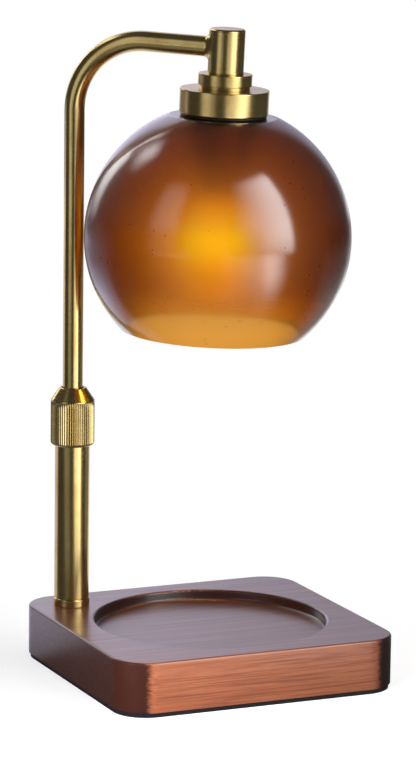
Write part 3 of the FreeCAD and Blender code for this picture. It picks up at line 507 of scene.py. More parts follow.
@dataclass(frozen=True)
class AmberGlass(Finish):
    """Blown glass, frosted within down to a clear lip, with fine seeds, an uneven outer lustre, and a
    painted glow and painted shade.

    Lengths are in mm. "Across" is the distance from the middle in the direction of that name.

    Attributes:
        clear: Colour of its surface.
        seed: Colour of a seed.
        seeds: Seeds by mm.
        seed_patch: Changes of the patches with seeds by mm.
        seed_levels: Levels of their noise where seeds begin and are largest.
        seed_size: Smallest and largest seed, as a share of their distance.
        seed_depth: Depth of a seed, downwards.
        wave: Waves of the surface by mm.
        wave_depth: Their depth.
        speckle: Grains of the frost by mm.
        painted_lip_shade: Colour of the painted shade on the lip's left.
        painted_lip_shade_reach: Distances across where that painted shade begins and is full.
        tint: Colour that its depth lets through.
        density: How strongly its depth absorbs the rest.
        rough: Roughness of the frost's smooth and rough grains.
        lip_rough: Roughness of the lip.
        lip: Heights where the frost begins to end and has gone.
        glow: Colour of the painted glow in the lip, which stands in for the bulb's light there.
        painted_glow_reach: Distances across where that painted glow begins to fade and is faint.
        painted_glow_strength: Its strength before and after.
        lit: Heights where it ends and is full.
        painted_halo: Colour of the painted glow in the frost round the bulb, which stands in for the
            bulb's light.
        painted_halo_strength: Its strength in front of the bulb.
        painted_halo_height: Height of its middle.
        painted_halo_reach: How far it spreads across and up.
        across: The direction across the globe.
        span: Farthest distance across.
        belly: Share of the lustre below the middle, by distance across.
        foot: Share of the lustre above the lip, by distance across.
        middle: Height of the globe's middle.
        radius: The globe's radius.
        lustre_rough: Roughness of the lustre.
        lustre_ior: Refractive index of the lustre.
        lower: Heights where the belly's lustre begins and is full.
        lowest: Heights where the foot's lustre begins and is full.
    """

    clear: Colour = (1.0, 0.97, 0.94)
    seed: Colour = (0.34, 0.2, 0.1)
    seeds: float = 0.18
    seed_patch: float = 0.03
    seed_levels: Span = (0.4, 0.58)
    seed_size: Span = (0.0, 0.1)
    seed_depth: float = -0.1
    wave: float = 0.04
    wave_depth: float = 0.12
    speckle: float = 4.0
    # Painted shade on the lip's left side.
    painted_lip_shade: Colour = (0.77, 0.745, 0.9)
    painted_lip_shade_reach: Span = (-12.0, -42.0)
    tint: Colour = (0.77, 0.51, 0.05)
    density: float = 1000.0
    rough: Span = (0.32, 0.46)
    lip_rough: float = 0.12
    lip: Span = (208.0, 194.0)
    # Painted glow in the lip, standing in for the bulb's light.
    glow: Colour = (1.0, 0.58, 0.05)
    painted_glow_reach: Span = (24.0, 52.0)
    painted_glow_strength: Span = (0.22, 0.04)
    lit: Span = (212.0, 180.0)
    # Painted halo in the frost round the bulb.
    painted_halo: Colour = (1.0, 0.41, 0.01)
    painted_halo_strength: float = 0.33
    painted_halo_height: float = 231.0
    painted_halo_reach: Span = (18.5, 15.5)
    across: tuple[float, float, float] = (0.912, -0.41, 0.0)
    span: float = 70.0
    belly: tuple[Span, ...] = (
        (-66, 0.4), (-60, 0.05), (-46, 0.05), (-36, 0.32), (-14, 0.32),
        (-2, 0.2), (11, 0.15), (28, 1.0), (50, 1.0), (58, 0.2),
    )
    foot: tuple[Span, ...] = ((-57, 1.0), (-49, 0.06), (52, 0.06), (60, 1.0))
    middle: float = 225.9
    radius: float = 67.5
    lustre_rough: float = 0.12
    lustre_ior: float = 1.9
    lower: Span = (243.0, 234.0)
    lowest: Span = (221.0, 199.0)

    def share(self, tree: Tree, along: Socket, stops: Sequence[Span]) -> Socket:
        """A share that changes across the globe."""
        marks = [((at + self.span) / (2 * self.span), (part,) * 3) for at, part in stops]
        return tree.ramp(tree.remap(along, (-self.span, self.span), (0.0, 1.0)), marks)

    def coat(self, tree: Tree, along: Socket, height: Socket) -> Socket:
        """Lay the lustre.

        Args:
            tree: The material's tree.
            along: Distance across the globe in mm.
            height: Height in mm.

        Returns:
            How thick it is, from 0 to 1.
        """
        upper = tree.blend(tree.fade(height, self.lower), WHITE, self.share(tree, along, self.belly))
        rise = tree.over(tree.minus(height, self.middle), self.radius)
        girth = tree.math("SQRT", tree.minus(1.0, tree.times(rise, rise)))
        foot = self.share(tree, tree.over(along, girth), self.foot)
        return tree.blend(tree.fade(height, self.lowest), upper, foot)

    def paint_halo(self, tree: Tree, along: Socket, height: Socket) -> Socket:
        """Paint a glow in the frost that stands in for the bulb's light scattered there.

        Args:
            tree: The material's tree.
            along: Distance across the globe in mm.
            height: Height in mm.

        Returns:
            How bright the painted glow is.
        """
        sides = tree.over(along, self.painted_halo_reach[0])
        rise = tree.over(tree.minus(height, self.painted_halo_height), self.painted_halo_reach[1])
        square = tree.plus(tree.times(sides, sides), tree.times(rise, rise))
        return tree.times(tree.math("POWER", math.exp(-0.5), square), self.painted_halo_strength)

    def paint(self, tree: Tree) -> None:
        """Glass with an even absorption, seeds as small pits and a faintly wavy surface, which also emits
        a painted glow.

        Args:
            tree: The material's tree.
        """
        place = tree.place()
        height, along = tree.part(place, "Z"), tree.dot(place, self.across)
        seeds = tree.node("TexVoronoi", {"Vector": place, "Scale": self.seeds}).outputs[0]
        size = tree.remap(tree.noise(place, self.seed_patch, 1.0), self.seed_levels, self.seed_size)
        pit = tree.math("LESS_THAN", seeds, size)
        soft = tree.bump(tree.noise(place, self.wave, 1.0), self.wave_depth)
        # Painted glow: the glass emits light in the lip, though it is no lamp.
        light = tree.remap(tree.math("ABSOLUTE", along), self.painted_glow_reach, self.painted_glow_strength, smooth=True)
        light = tree.times(light, tree.fade(height, self.lit))
        painted_halo = self.paint_halo(tree, along, height)
        painted_glow = tree.plus(light, painted_halo)
        grain = tree.math("GREATER_THAN", tree.noise(place, self.speckle, 0.0), 0.5)
        lip = tree.fade(height, self.lip)
        # Painted shade: the lip darkens towards its left side.
        painted_lip_shade = tree.times(lip, tree.remap(along, self.painted_lip_shade_reach, (0.0, 1.0)))
        volume = tree.shader("VolumeAbsorption", {"Color": self.tint, "Density": self.density})
        tree.surface(
            {
                "Base Color": tree.blend(pit, tree.blend(painted_lip_shade, self.clear, self.painted_lip_shade), self.seed),
                "Roughness": tree.mix(lip, tree.remap(grain, (0.0, 1.0), self.rough), self.lip_rough),
                "IOR": 1.5,
                "Specular Tint": (0.0, 0.0, 0.0),
                "Transmission Weight": 1.0,
                "Coat Weight": self.coat(tree, along, height),
                "Coat Roughness": self.lustre_rough,
                "Coat IOR": self.lustre_ior,
                # Painted glow and halo, emitted by the glass though it is no lamp.
                "Emission Color": tree.blend(tree.over(light, painted_glow), self.painted_halo, self.glow),
                "Emission Strength": painted_glow,
                "Normal": tree.bump(pit, self.seed_depth, Normal=soft),
                "Coat Normal": soft,
            },
            Volume=volume,
        )


@dataclass(frozen=True)
class ClearGlass(Finish):
    """Pressed or drawn clear glass of the bulb, with its light in it.

    Attributes:
        glow: Colour of the light in it.
        strength: How strong that light is.
        rough: Lowest roughness of the surface.
        clear: Colours of the low and high spots.
    """

    glow: Colour
    strength: float
    rough: float = 0.12
    clear: tuple[Colour, Colour] = ((0.92, 0.86, 0.76), (1.0, 0.97, 0.9))

    def paint(self, tree: Tree) -> None:
        """Glass with a fine pressed ripple.

        Args:
            tree: The material's tree.
        """
        ripple = tree.noise(tree.place(), 0.9)
        low, high = 0.3, 0.7
        tree.surface(
            {
                "Base Color": tree.ramp(ripple, tuple(zip((low, high), self.clear))),
                "Roughness": tree.remap(ripple, (low, high), (self.rough, self.rough + 0.1)),
                "IOR": 1.5,
                "Transmission Weight": 1.0,
                "Emission Color": self.glow,
                "Emission Strength": self.strength,
                "Normal": tree.bump(ripple, 0.05),
            }
        )


@dataclass(frozen=True)
class GlowingMirror(Finish):
    """The bulb's thin mirror coat, which lets part of the light out, most of it half way up.

    Attributes:
        colour: Colours of the coat's dull and bright spots.
        strength: How strong the light is that it lets out.
        reach: Heights in mm of the coat's mouth and neck.
        glow: Colour of the light by share of the way up.
    """

    colour: tuple[Colour, Colour] = ((0.55, 0.46, 0.34), (0.8, 0.72, 0.6))
    strength: float = 1.0
    reach: Span = (203.6, 247.6)
    glow: tuple[tuple[float, Colour], ...] = (
        (0.0, (0.46, 0.27, 0.01)),
        (0.2, (0.56, 0.42, 0.01)),
        (0.5, (0.66, 1.4, 0.01)),
        (0.78, (1.0, 0.92, 0.01)),
        (1.0, (0.95, 0.34, 0.01)),
    )

    def paint(self, tree: Tree) -> None:
        """A mottled coat over glass.

        Args:
            tree: The material's tree.
        """
        place = tree.place()
        mottle = tree.noise(place, 0.35)
        rise = tree.remap(tree.part(place, "Z"), self.reach, (0.0, 1.0))
        low, high = 0.3, 0.7
        tree.surface(
            {
                "Base Color": tree.ramp(mottle, tuple(zip((low, high), self.colour))),
                "Metallic": 0.7,
                "Roughness": tree.remap(mottle, (low, high), (0.25, 0.42)),
                "Emission Color": tree.ramp(rise, self.glow),
                "Emission Strength": self.strength,
                "Normal": tree.bump(mottle, 0.08),
            }
        )


@dataclass(frozen=True)
class Moulded(Finish):
    """Plastic, rubber or ceramic with a fine even texture over broad faint mottling.

    Attributes:
        colour: Colour of the high spots.
        shade: Colour of the low spots.
        rough: Lowest and highest roughness.
        grain: Size of the texture in mm.
        depth: Its depth in mm.
        mottle: Changes of the mottling by mm.
        levels: Levels of the low and high spots.
    """

    colour: Colour
    shade: Colour
    rough: Span = (0.5, 0.7)
    grain: float = 0.4
    depth: float = 0.02
    mottle: float = 0.08
    levels: Span = (0.35, 0.65)

    def paint(self, tree: Tree) -> None:
        """A fine texture over broad faint mottling.

        Args:
            tree: The material's tree.
        """
        place = tree.place()
        fine = tree.noise(place, 1 / self.grain, 3.0)
        tone = tree.plus(tree.times(fine, 0.6), tree.times(tree.noise(place, self.mottle), 0.4))
        tree.surface(
            {
                "Base Color": tree.ramp(tone, tuple(zip(self.levels, (self.shade, self.colour)))),
                "Roughness": tree.remap(tone, self.levels, self.rough),
                "Normal": tree.bump(fine, self.depth),
            }
        )


BRASS = ((0.65, 0.495, 0.205), (0.57, 0.405, 0.15))
SATIN_BRASS = WorkedMetal("satin_brass", "satin_brass", *BRASS)
DRAWN_BRASS = WorkedMetal("drawn_brass", "satin_brass", *BRASS, Grain.ALONG)
TURNED_BRASS = WorkedMetal("turned_brass", "turned_brass", *BRASS, rough=(0.14, 0.26))
KNURLED_BRASS = WorkedMetal("knurled_brass", "knurled_brass", *BRASS, rough=(0.16, 0.28))
CAST_BRASS = WorkedMetal("fitting_brass", "turned_brass", *BRASS, Grain.SOLID)
ZINC_STEEL = WorkedMetal("zinc_steel", "zinc_steel", (0.62, 0.62, 0.6), (0.48, 0.49, 0.5), Grain.SOLID)
NICKEL = WorkedMetal("nickel_contact", "contact_metal", (0.72, 0.69, 0.6), (0.6, 0.56, 0.46), Grain.SOLID)
WOOD = StainedWood("stained_wood", "wood")
AMBER = AmberGlass("amber_glass", "amber_glass")
BULB_GLASS = ClearGlass("bulb_glass", "bulb_glass", (1.0, 0.55, 0.08), 0.45)
BURNER_GLASS = ClearGlass("burner_glass", "bulb_glass", (1.0, 0.72, 0.38), 6.0, 0.3)
MIRROR_COAT = GlowingMirror("reflector_coat", "reflector")
FOAM_PAD = Moulded("foam_pad", "pad", (0.013, 0.013, 0.016), (0.005, 0.005, 0.007), (0.7, 0.9), 0.7, 0.1)
GASKET_RUBBER = Moulded(
    "gasket_rubber", "gasket", (0.03, 0.028, 0.028), (0.012, 0.011, 0.011), (0.35, 0.6), 0.5, 0.04
)
BLACK_PLASTIC = Moulded("black_plastic", "black_plastic", (0.045, 0.045, 0.047), (0.025, 0.025, 0.027))
NYLON = Moulded("natural_nylon", "nylon", (0.84, 0.82, 0.75), (0.74, 0.71, 0.62), (0.35, 0.5), 1.2, 0.01)
STEATITE = Moulded("steatite", "ceramic", (0.9, 0.88, 0.82), (0.8, 0.77, 0.69), (0.55, 0.75), 0.3, 0.02)
LEAD_SLEEVE = Moulded(
    "lead_sleeve", "lead_jacket", (0.76, 0.73, 0.66), (0.6, 0.56, 0.48), (0.5, 0.7), 0.25, 0.04
)

CARRIED_OVER: dict[str, Finish] = {
    "wooden_base": WOOD,
    "base_pad": FOAM_PAD,
    "cord_inlet_bushing": BLACK_PLASTIC,
    "supply_lead": LEAD_SLEEVE,
    "head_lead": LEAD_SLEEVE,
    "base_stud": ZINC_STEEL,
    "stud_washer": ZINC_STEEL,
    "stud_nut": ZINC_STEEL,
    "clamp_seat": CAST_BRASS,
    "split_ring": NYLON,
    "guide_bush": NYLON,
    "tube_retainers": ZINC_STEEL,
    "hub_nipple": ZINC_STEEL,
    "nipple_nut": ZINC_STEEL,
    "inner_gasket": GASKET_RUBBER,
    "holder_ceramic": STEATITE,
    "holder_contacts": NICKEL,
    "bulb_pins": NICKEL,
}


# Mesh making


def add_object(name: str, data: bpy.types.ID) -> bpy.types.Object:
    """Add an object to the scene.

    Args:
        name: Its name.
        data: Its mesh, light or camera.

    Returns:
        The object.
    """
    made = bpy.data.objects.new(name, data)
    bpy.context.scene.collection.objects.link(made)
    return made


def add_mesh(name: str, bm: bmesh.types.BMesh, material: bpy.types.Material) -> bpy.types.Object:
    """Add an object made from faces, and free them.

    Args:
        name: Its name.
        bm: The faces.
        material: Its material.

    Returns:
        The object.
    """
    mesh = bpy.data.meshes.new(name)
    bm.to_mesh(mesh)
    bm.free()
    mesh.materials.append(material)
    return add_object(name, mesh)


@dataclass(frozen=True)
class Corner:
    """A corner of a turned outline.

    Attributes:
        radius: Distance from the axis.
        height: Height along the axis.
        soft: How far the rounding reaches along each side.
    """

    radius: float
    height: float
    soft: float = 0.0


def soften(corners: Sequence[Corner], closed: bool) -> Outline:
    """Round the corners that ask for it and hold the sides beside them flat.

    Args:
        corners: The outline's corners.
        closed: Whether the last corner joins the first.

    Returns:
        The outline's points as (radius, height).
    """
    points: Outline = []
    for number, corner in enumerate(corners):
        here = Vector((corner.radius, corner.height))
        end = not closed and number in (0, len(corners) - 1)
        if not corner.soft or end:
            points.append(tuple(here))
            continue
        before, after = corners[number - 1], corners[(number + 1) % len(corners)]
        sides = []
        for other in (before, after):
            way = Vector((other.radius, other.height)) - here
            spare = (way.length - corner.soft - other.soft) / HOLD_SHARE
            sides.append((way.normalized(), min(HOLD, max(spare, 0.0))))
        (back, back_hold), (on, on_hold) = sides
        start, finish = here + back * corner.soft, here + on * corner.soft
        if back_hold > LEAST_HOLD:
            points.append(tuple(start + back * back_hold))
        for step in range(ROUND_STEPS + 1):
            t = step / ROUND_STEPS
            points.append(tuple(start * (1 - t) ** 2 + here * 2 * t * (1 - t) + finish * t**2))
        if on_hold > LEAST_HOLD:
            points.append(tuple(finish + on * on_hold))
    return points


def circle(radius: float, height: float, steps: int) -> list[Vector]:
    """Points round the Z axis."""
    angles = [math.tau * step / steps for step in range(steps)]
    return [Vector((radius * math.cos(angle), radius * math.sin(angle), height)) for angle in angles]


def arc(centre: Span, radius: float, start: float, finish: float, steps: int) -> list[Corner]:
    """Corners along an arc from its start to its finish, in degrees from the outward radius."""
    angles = [math.radians(start + (finish - start) * step / steps) for step in range(steps + 1)]
    return [Corner(centre[0] + radius * math.cos(a), centre[1] + radius * math.sin(a)) for a in angles]


class Skin:
    """A mesh built from rows of points, with a map in mm laid over it."""

    def __init__(self) -> None:
        """Start with no faces."""
        self.bm = bmesh.new()
        self.map = self.bm.loops.layers.uv.new(WRAP)

    def rows(self, rows: Sequence[Sequence[Vector]], around: float, closed: bool) -> None:
        """Join rows of points, each a loop or a single pole, by faces.

        Args:
            rows: The rows in mm.
            around: Width of the map once around.
            closed: Whether the last row joins the first.
        """
        made = [[self.bm.verts.new(point * MM) for point in row] for row in rows]
        along = 0.0
        for number in range(len(rows) if closed else len(rows) - 1):
            low, high = made[number], made[(number + 1) % len(rows)]
            step = (rows[number][0] - rows[(number + 1) % len(rows)][0]).length
            self.band(low, high, around, (along, along + step))
            along += step

    def band(self, low: list, high: list, around: float, along: Span) -> None:
        """Join two rows of vertices by faces.

        Args:
            low: Vertices of the first row, or its pole.
            high: Vertices of the second row, or its pole.
            around: Width of the map once around.
            along: Where the two rows are on the map.
        """
        count = max(len(low), len(high))
        for c in range(count):
            n = (c + 1) % count
            left, right = around * c / count, around * (c + 1) / count
            corners = []
            ends = [(c, left), (n, right)]
            for row, order, v in ((low, ends, along[0]), (high, ends[::-1], along[1])):
                if len(row) > 1:
                    corners += [(row[number], u, v) for number, u in order]
                else:
                    corners += [(row[0], (left + right) / 2, v)]
            if len(corners) < 3:
                continue
            face = self.bm.faces.new([corner[0] for corner in corners])
            for loop, (_, u, v) in zip(face.loops, corners):
                loop[self.map].uv = (u, v)

    def turned(self, outline: Outline, place: Matrix, steps: int = 96, closed: bool = True) -> None:
        """Turn an outline about the Z axis of a place.

        Args:
            outline: The outline's points as (radius, height).
            place: Where the axis stands.
            steps: Steps once around.
            closed: Whether the outline is a closed ring.
        """
        rows = []
        for radius, height in outline:
            if radius < TINY:
                rows.append([place @ Vector((0, 0, height))])
                continue
            rows.append([place @ spoke for spoke in circle(radius, height, steps)])
        self.rows(rows, math.tau * max(radius for radius, _ in outline), closed)

    def piece(self, name: str, finish: Finish, body: Body, *nodes: str) -> bpy.types.Object:
        """Make the piece, dress it and hang it on its body.

        Args:
            name: Name of the piece.
            finish: Its finish.
            body: The body that it moves with.
            *nodes: The nodes that it stands for.

        Returns:
            The piece.
        """
        bmesh.ops.recalc_face_normals(self.bm, faces=self.bm.faces)
        made = add_mesh(name, self.bm, finish.material())
        made.data.shade_smooth()
        made.data.set_sharp_from_angle(angle=SHARP_ANGLE)
        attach(made, body.value)
        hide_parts(*nodes)
        count = len(made.data.polygons)
        LOG.info("%s: %d faces on %s, for %s", name, count, body.value, ", ".join(nodes))
        return made


def turned_piece(
    name: str,
    corners: Sequence[Corner],
    place: Matrix,
    finish: Finish,
    body: Body,
    *nodes: str,
    closed: bool = True,
    steps: int = 96,
) -> bpy.types.Object:
    """Make a piece by turning one outline.

    Args:
        name: Name of the piece.
        corners: Corners of its outline.
        place: Where its axis stands.
        finish: Its finish.
        body: The body that it moves with.
        *nodes: The nodes that it stands for.
        closed: Whether the outline is a closed ring.
        steps: Steps once around.

    Returns:
        The piece.
    """
    skin = Skin()
    skin.turned(soften(corners, closed), place, steps, closed)
    return skin.piece(name, finish, body, *nodes)


def tube_outline(bore: float, outer: float, low: float, high: float, edge: float) -> list[Corner]:
    """Corners of a ring with rounded outer edges."""
    return [Corner(bore, low), Corner(outer, low, edge), Corner(outer, high, edge), Corner(bore, high)]


# Sub-assemblies


@dataclass
class Post:
    """The post: its foot, the outer tube and the knurled clamp nut.

    Sizes are in mm, and those that aren't named as a height, length, drop, edge or groove are radii. The
    nut's bevel is in and up. Its grooves begin and end at heights from its lower end and from the cone.
    """

    x: float = -55.0
    y: float = 51.0
    base_top: float = 28.0
    stud: float = 5.05
    foot: float = 9.35
    foot_height: float = 4.4
    foot_edge: float = 0.5
    spigot: float = 7.95
    spigot_height: float = 10.0
    tube: float = 9.0
    tube_bore: float = 8.0
    tube_length: float = 84.9
    nut_drop: float = 4.0
    nut_radius: float = 11.3
    nut_skirt: float = 23.5
    nut_cone: float = 6.5
    nut_top: float = 6.9
    nut_hole: float = 5.8
    nut_lip: float = 2.5
    nut_thread: float = 8.3
    nut_bore: float = 9.15
    nut_bevel: Span = (1.0, 1.1)
    nut_land: float = 3.0
    nut_relief: float = 2.2
    nut_cavity: float = 16.5
    ridges: int = 60
    groove: float = 0.4
    groove_shape: tuple[float, ...] = (0.0, 0.0, 0.35, 0.8, 1.0, 1.0, 0.8, 0.35)
    groove_start: Span = (0.2, 1.1)
    groove_end: Span = (0.35, 0.7)
    groove_side: float = 1.05

    @property
    def place(self) -> Matrix:
        """The post's axis."""
        return Matrix.Translation((self.x, self.y, 0))

    def build(self) -> None:
        """Make the post's visible pieces."""
        foot_top = self.base_top + self.foot_height
        tube_top = foot_top + self.tube_length
        spigot_top = foot_top + self.spigot_height
        foot = [
            Corner(self.stud, self.base_top),
            Corner(self.foot - 0.15, self.base_top, 0.15),
            Corner(self.foot, self.base_top + 0.6, 0.2),
            Corner(self.foot, foot_top - self.foot_edge, 0.25),
            Corner(self.foot - self.foot_edge, foot_top, 0.25),
            Corner(self.spigot, foot_top),
            Corner(self.spigot, spigot_top),
            Corner(self.stud, spigot_top),
        ]
        turned_piece("post_foot", foot, self.place, TURNED_BRASS, Body.BASE, "foot_collar")
        tube = tube_outline(self.tube_bore, self.tube, foot_top, tube_top, 0.12)
        turned_piece("outer_tube", tube, self.place, DRAWN_BRASS, Body.BASE, "lower_tube", steps=128)
        self.build_nut(tube_top - self.nut_drop)

    def build_nut(self, bottom: float) -> None:
        """Make the clamp nut, with its knurl, bevelled ends and smooth cone.

        Args:
            bottom: Height of its lower end.
        """
        knurl_top, top = bottom + self.nut_skirt, bottom + self.nut_skirt + self.nut_cone
        seat, inset = bottom + self.nut_drop, self.nut_radius - self.nut_bevel[0]
        outline = soften(
            [
                Corner(self.nut_bore, bottom, 0.15),
                Corner(inset, bottom, 0.3),
                Corner(self.nut_radius, bottom + self.nut_bevel[1], 0.5),
                Corner(self.nut_radius, bottom + self.nut_land),
                Corner(self.nut_radius, knurl_top - self.nut_land),
                Corner(self.nut_radius, knurl_top, 0.3),
                Corner(self.nut_top, top, 0.25),
                Corner(self.nut_hole, top, 0.15),
                Corner(self.nut_hole, top - self.nut_lip),
                Corner(self.nut_thread, seat + self.nut_cavity),
                Corner(self.nut_thread, seat + self.nut_relief),
                Corner(self.nut_bore, seat + self.nut_relief),
            ],
            closed=True,
        )
        steps = self.ridges * len(self.groove_shape)
        rows = []
        for radius, height in outline:
            up = (height - bottom - self.groove_start[0]) / (self.groove_start[1] - self.groove_start[0])
            down = (knurl_top - height - self.groove_end[0]) / (self.groove_end[1] - self.groove_end[0])
            cut = self.groove * max(min(up, down, 1.0), 0.0)
            if radius <= self.nut_radius - self.groove_side:
                cut = 0.0
            row = []
            for step in range(steps):
                angle = math.tau * step / steps
                r = radius - cut * self.groove_shape[step % len(self.groove_shape)]
                row.append(self.place @ Vector((r * math.cos(angle), r * math.sin(angle), height)))
            rows.append(row)
        skin = Skin()
        skin.rows(rows, math.tau * self.nut_radius, closed=True)
        skin.piece("knurled_nut", KNURLED_BRASS, Body.NUT, "clamp_nut")


@dataclass
class Arm:
    """The inner tube, bent over into the arm, in mm and degrees."""

    post: Post
    azimuth: float = -43.0
    droop: float = 2.0
    bend: float = 36.5
    height: float = 323.2
    reach: float = 81.0
    radius: float = 5.2
    bore: float = 4.2
    end_inset: float = 6.0
    lower_end: float = 95.5
    stations: tuple[float, ...] = (160.0, 220.0, 280.0)
    bend_steps: int = 28
    around_steps: int = 72

    @property
    def plane(self) -> Matrix:
        """The upright plane of the arm, with X out along it."""
        return self.post.place @ Matrix.Rotation(math.radians(self.azimuth), 4, "Z")

    @property
    def head_height(self) -> float:
        """Find where the arm's axis meets the head's.

        Returns:
            The height there.
        """
        lean = math.radians(self.droop)
        end_x = self.bend * (1 + math.sin(lean))
        end_z = self.height - self.bend * (1 - math.cos(lean))
        return end_z - (self.reach - end_x) * math.tan(lean)

    @property
    def head(self) -> Matrix:
        """The head's axis, which leans with the arm."""
        lean = Matrix.Rotation(math.radians(self.droop), 4, "Y")
        return self.plane @ Matrix.Translation((self.reach, 0, self.head_height)) @ lean

    def route(self) -> list[tuple[Vector, Vector]]:
        """Lay the tube's axis.

        Returns:
            Points along it, each with the outward side of the bend there.
        """
        lean = math.radians(self.droop)
        centre = Vector((self.bend, 0, self.height - self.bend))
        made = [(Vector((0, 0, z)), Vector((-1, 0, 0))) for z in (self.lower_end, *self.stations)]
        for step in range(self.bend_steps + 1):
            turn = math.pi / 2 + (math.pi / 2 + lean) * (1 - step / self.bend_steps) - lean
            side = Vector((math.cos(turn), 0, math.sin(turn)))
            made.append((centre + side * self.bend, side))
        side = made[-1][1]
        way = Vector((side.z, 0, -side.x))
        end = Vector((self.reach, 0, self.head_height)) - way * self.end_inset
        made.append(((made[-1][0] + end) / 2, side))
        made.append((end, side))
        return made

    def build(self) -> None:
        """Make the tube as one swept ring."""
        rows, route = [], self.route()
        across = Vector((0, 1, 0))
        for radius, stations in ((self.radius, route), (self.bore, route[::-1])):
            for centre, side in stations:
                row = []
                for step in range(self.around_steps):
                    angle = math.tau * step / self.around_steps
                    offset = side * math.cos(angle) + across * math.sin(angle)
                    row.append(self.plane @ (centre + offset * radius))
                rows.append(row)
        skin = Skin()
        skin.rows(rows, math.tau * self.radius, closed=True)
        skin.piece("bent_tube", DRAWN_BRASS, Body.ARM, "arm_tube")


@dataclass
class Head:
    """Hub, cap, collar and cup at the arm's end, by radii and heights from the arm's axis, in mm."""

    arm: Arm
    stud: float = 5.05
    hub: float = 9.1
    above: float = 8.4
    below: float = 12.8
    floor: float = 5.8
    bore: float = 6.5
    cap: float = 1.3
    cap_edge: float = 0.8
    saddle: float = 7.7
    saddle_out: float = 2.6
    saddle_root: float = 0.6
    saddle_steps: tuple[int, int] = (12, 64)
    collar: float = 13.6
    collar_height: float = 7.7
    step: float = 12.7
    step_height: float = 1.8
    cup: float = 22.5
    cup_height: float = 12.1
    cup_wall: float = 2.0
    cup_roof: float = 2.5
    edge: float = 0.4

    def build(self) -> None:
        """Make the head's turned pieces."""
        self.build_hub()
        place, top = self.arm.head, self.above + self.cap
        cap = [
            Corner(0, self.above - 2.0),
            Corner(self.bore - 0.05, self.above - 2.0),
            Corner(self.bore - 0.05, self.above),
            Corner(self.hub, self.above + 0.05, 0.1),
            Corner(self.hub, top - self.cap_edge, 0.3),
            Corner(self.hub - self.cap_edge, top, 0.3),
            Corner(0, top),
        ]
        turned_piece("hub_top", cap, place, SATIN_BRASS, Body.ARM, "hub_cap", closed=False)
        low = -self.below - self.collar_height
        collar = [
            Corner(self.stud, low),
            Corner(self.step, low, 0.15),
            Corner(self.step, low + self.step_height),
            Corner(self.collar, low + self.step_height, self.edge),
            Corner(self.collar, -self.below, self.edge),
            Corner(self.stud, -self.below),
        ]
        turned_piece("turned_collar", collar, place, SATIN_BRASS, Body.ARM, "shade_collar", steps=128)
        bottom = low - self.cup_height
        cup = [
            Corner(self.stud, low - self.cup_roof),
            Corner(self.cup - self.cup_wall, low - self.cup_roof),
            Corner(self.cup - self.cup_wall, bottom),
            Corner(self.cup, bottom, self.edge),
            Corner(self.cup, low, self.edge + 0.1),
            Corner(self.stud, low),
        ]
        turned_piece("fitter_cup", cup, place, SATIN_BRASS, Body.ARM, "socket_cup", steps=144)

    def build_hub(self) -> None:
        """Make the hub, with the brazed fillet where the arm runs in."""
        hollow = -self.below + self.floor
        outline = soften(
            [
                Corner(self.stud, -self.below),
                Corner(self.hub, -self.below, 0.2),
                Corner(self.hub, self.above, 0.1),
                Corner(self.bore, self.above),
                Corner(self.bore, hollow),
                Corner(self.stud, hollow),
            ],
            closed=True,
        )
        skin = Skin()
        place = self.arm.head
        skin.turned(outline, place, 128)
        start = self.arm.radius + 0.05
        rows, rises = [], self.saddle_steps[0]
        for number in range(rises + 1):
            t = math.pi / 2 * number / rises
            reach = start + (self.saddle - start) * (1 - math.cos(t))
            rows.append(self.saddle_row(place, reach, self.saddle_out * (1 - math.sin(t))))
        rows.append(self.saddle_row(place, self.saddle, -self.saddle_root))
        rows.append(self.saddle_row(place, start - 0.02, -self.saddle_root))
        skin.rows(rows, math.tau * self.saddle, closed=True)
        skin.piece("brazed_hub", SATIN_BRASS, Body.ARM, "head_hub")

    def saddle_row(self, place: Matrix, reach: float, out: float) -> list[Vector]:
        """Lay one loop of the fillet round the arm.

        Args:
            place: The head's axis.
            reach: Distance from the arm's axis.
            out: Distance out from the hub.

        Returns:
            The loop's points.
        """
        row = []
        steps = self.saddle_steps[1]
        for step in range(steps):
            angle = math.tau * step / steps
            y, z = reach * math.cos(angle), reach * math.sin(angle)
            row.append(place @ Vector((-math.sqrt(self.hub**2 - y**2) - out, y, z)))
        return row


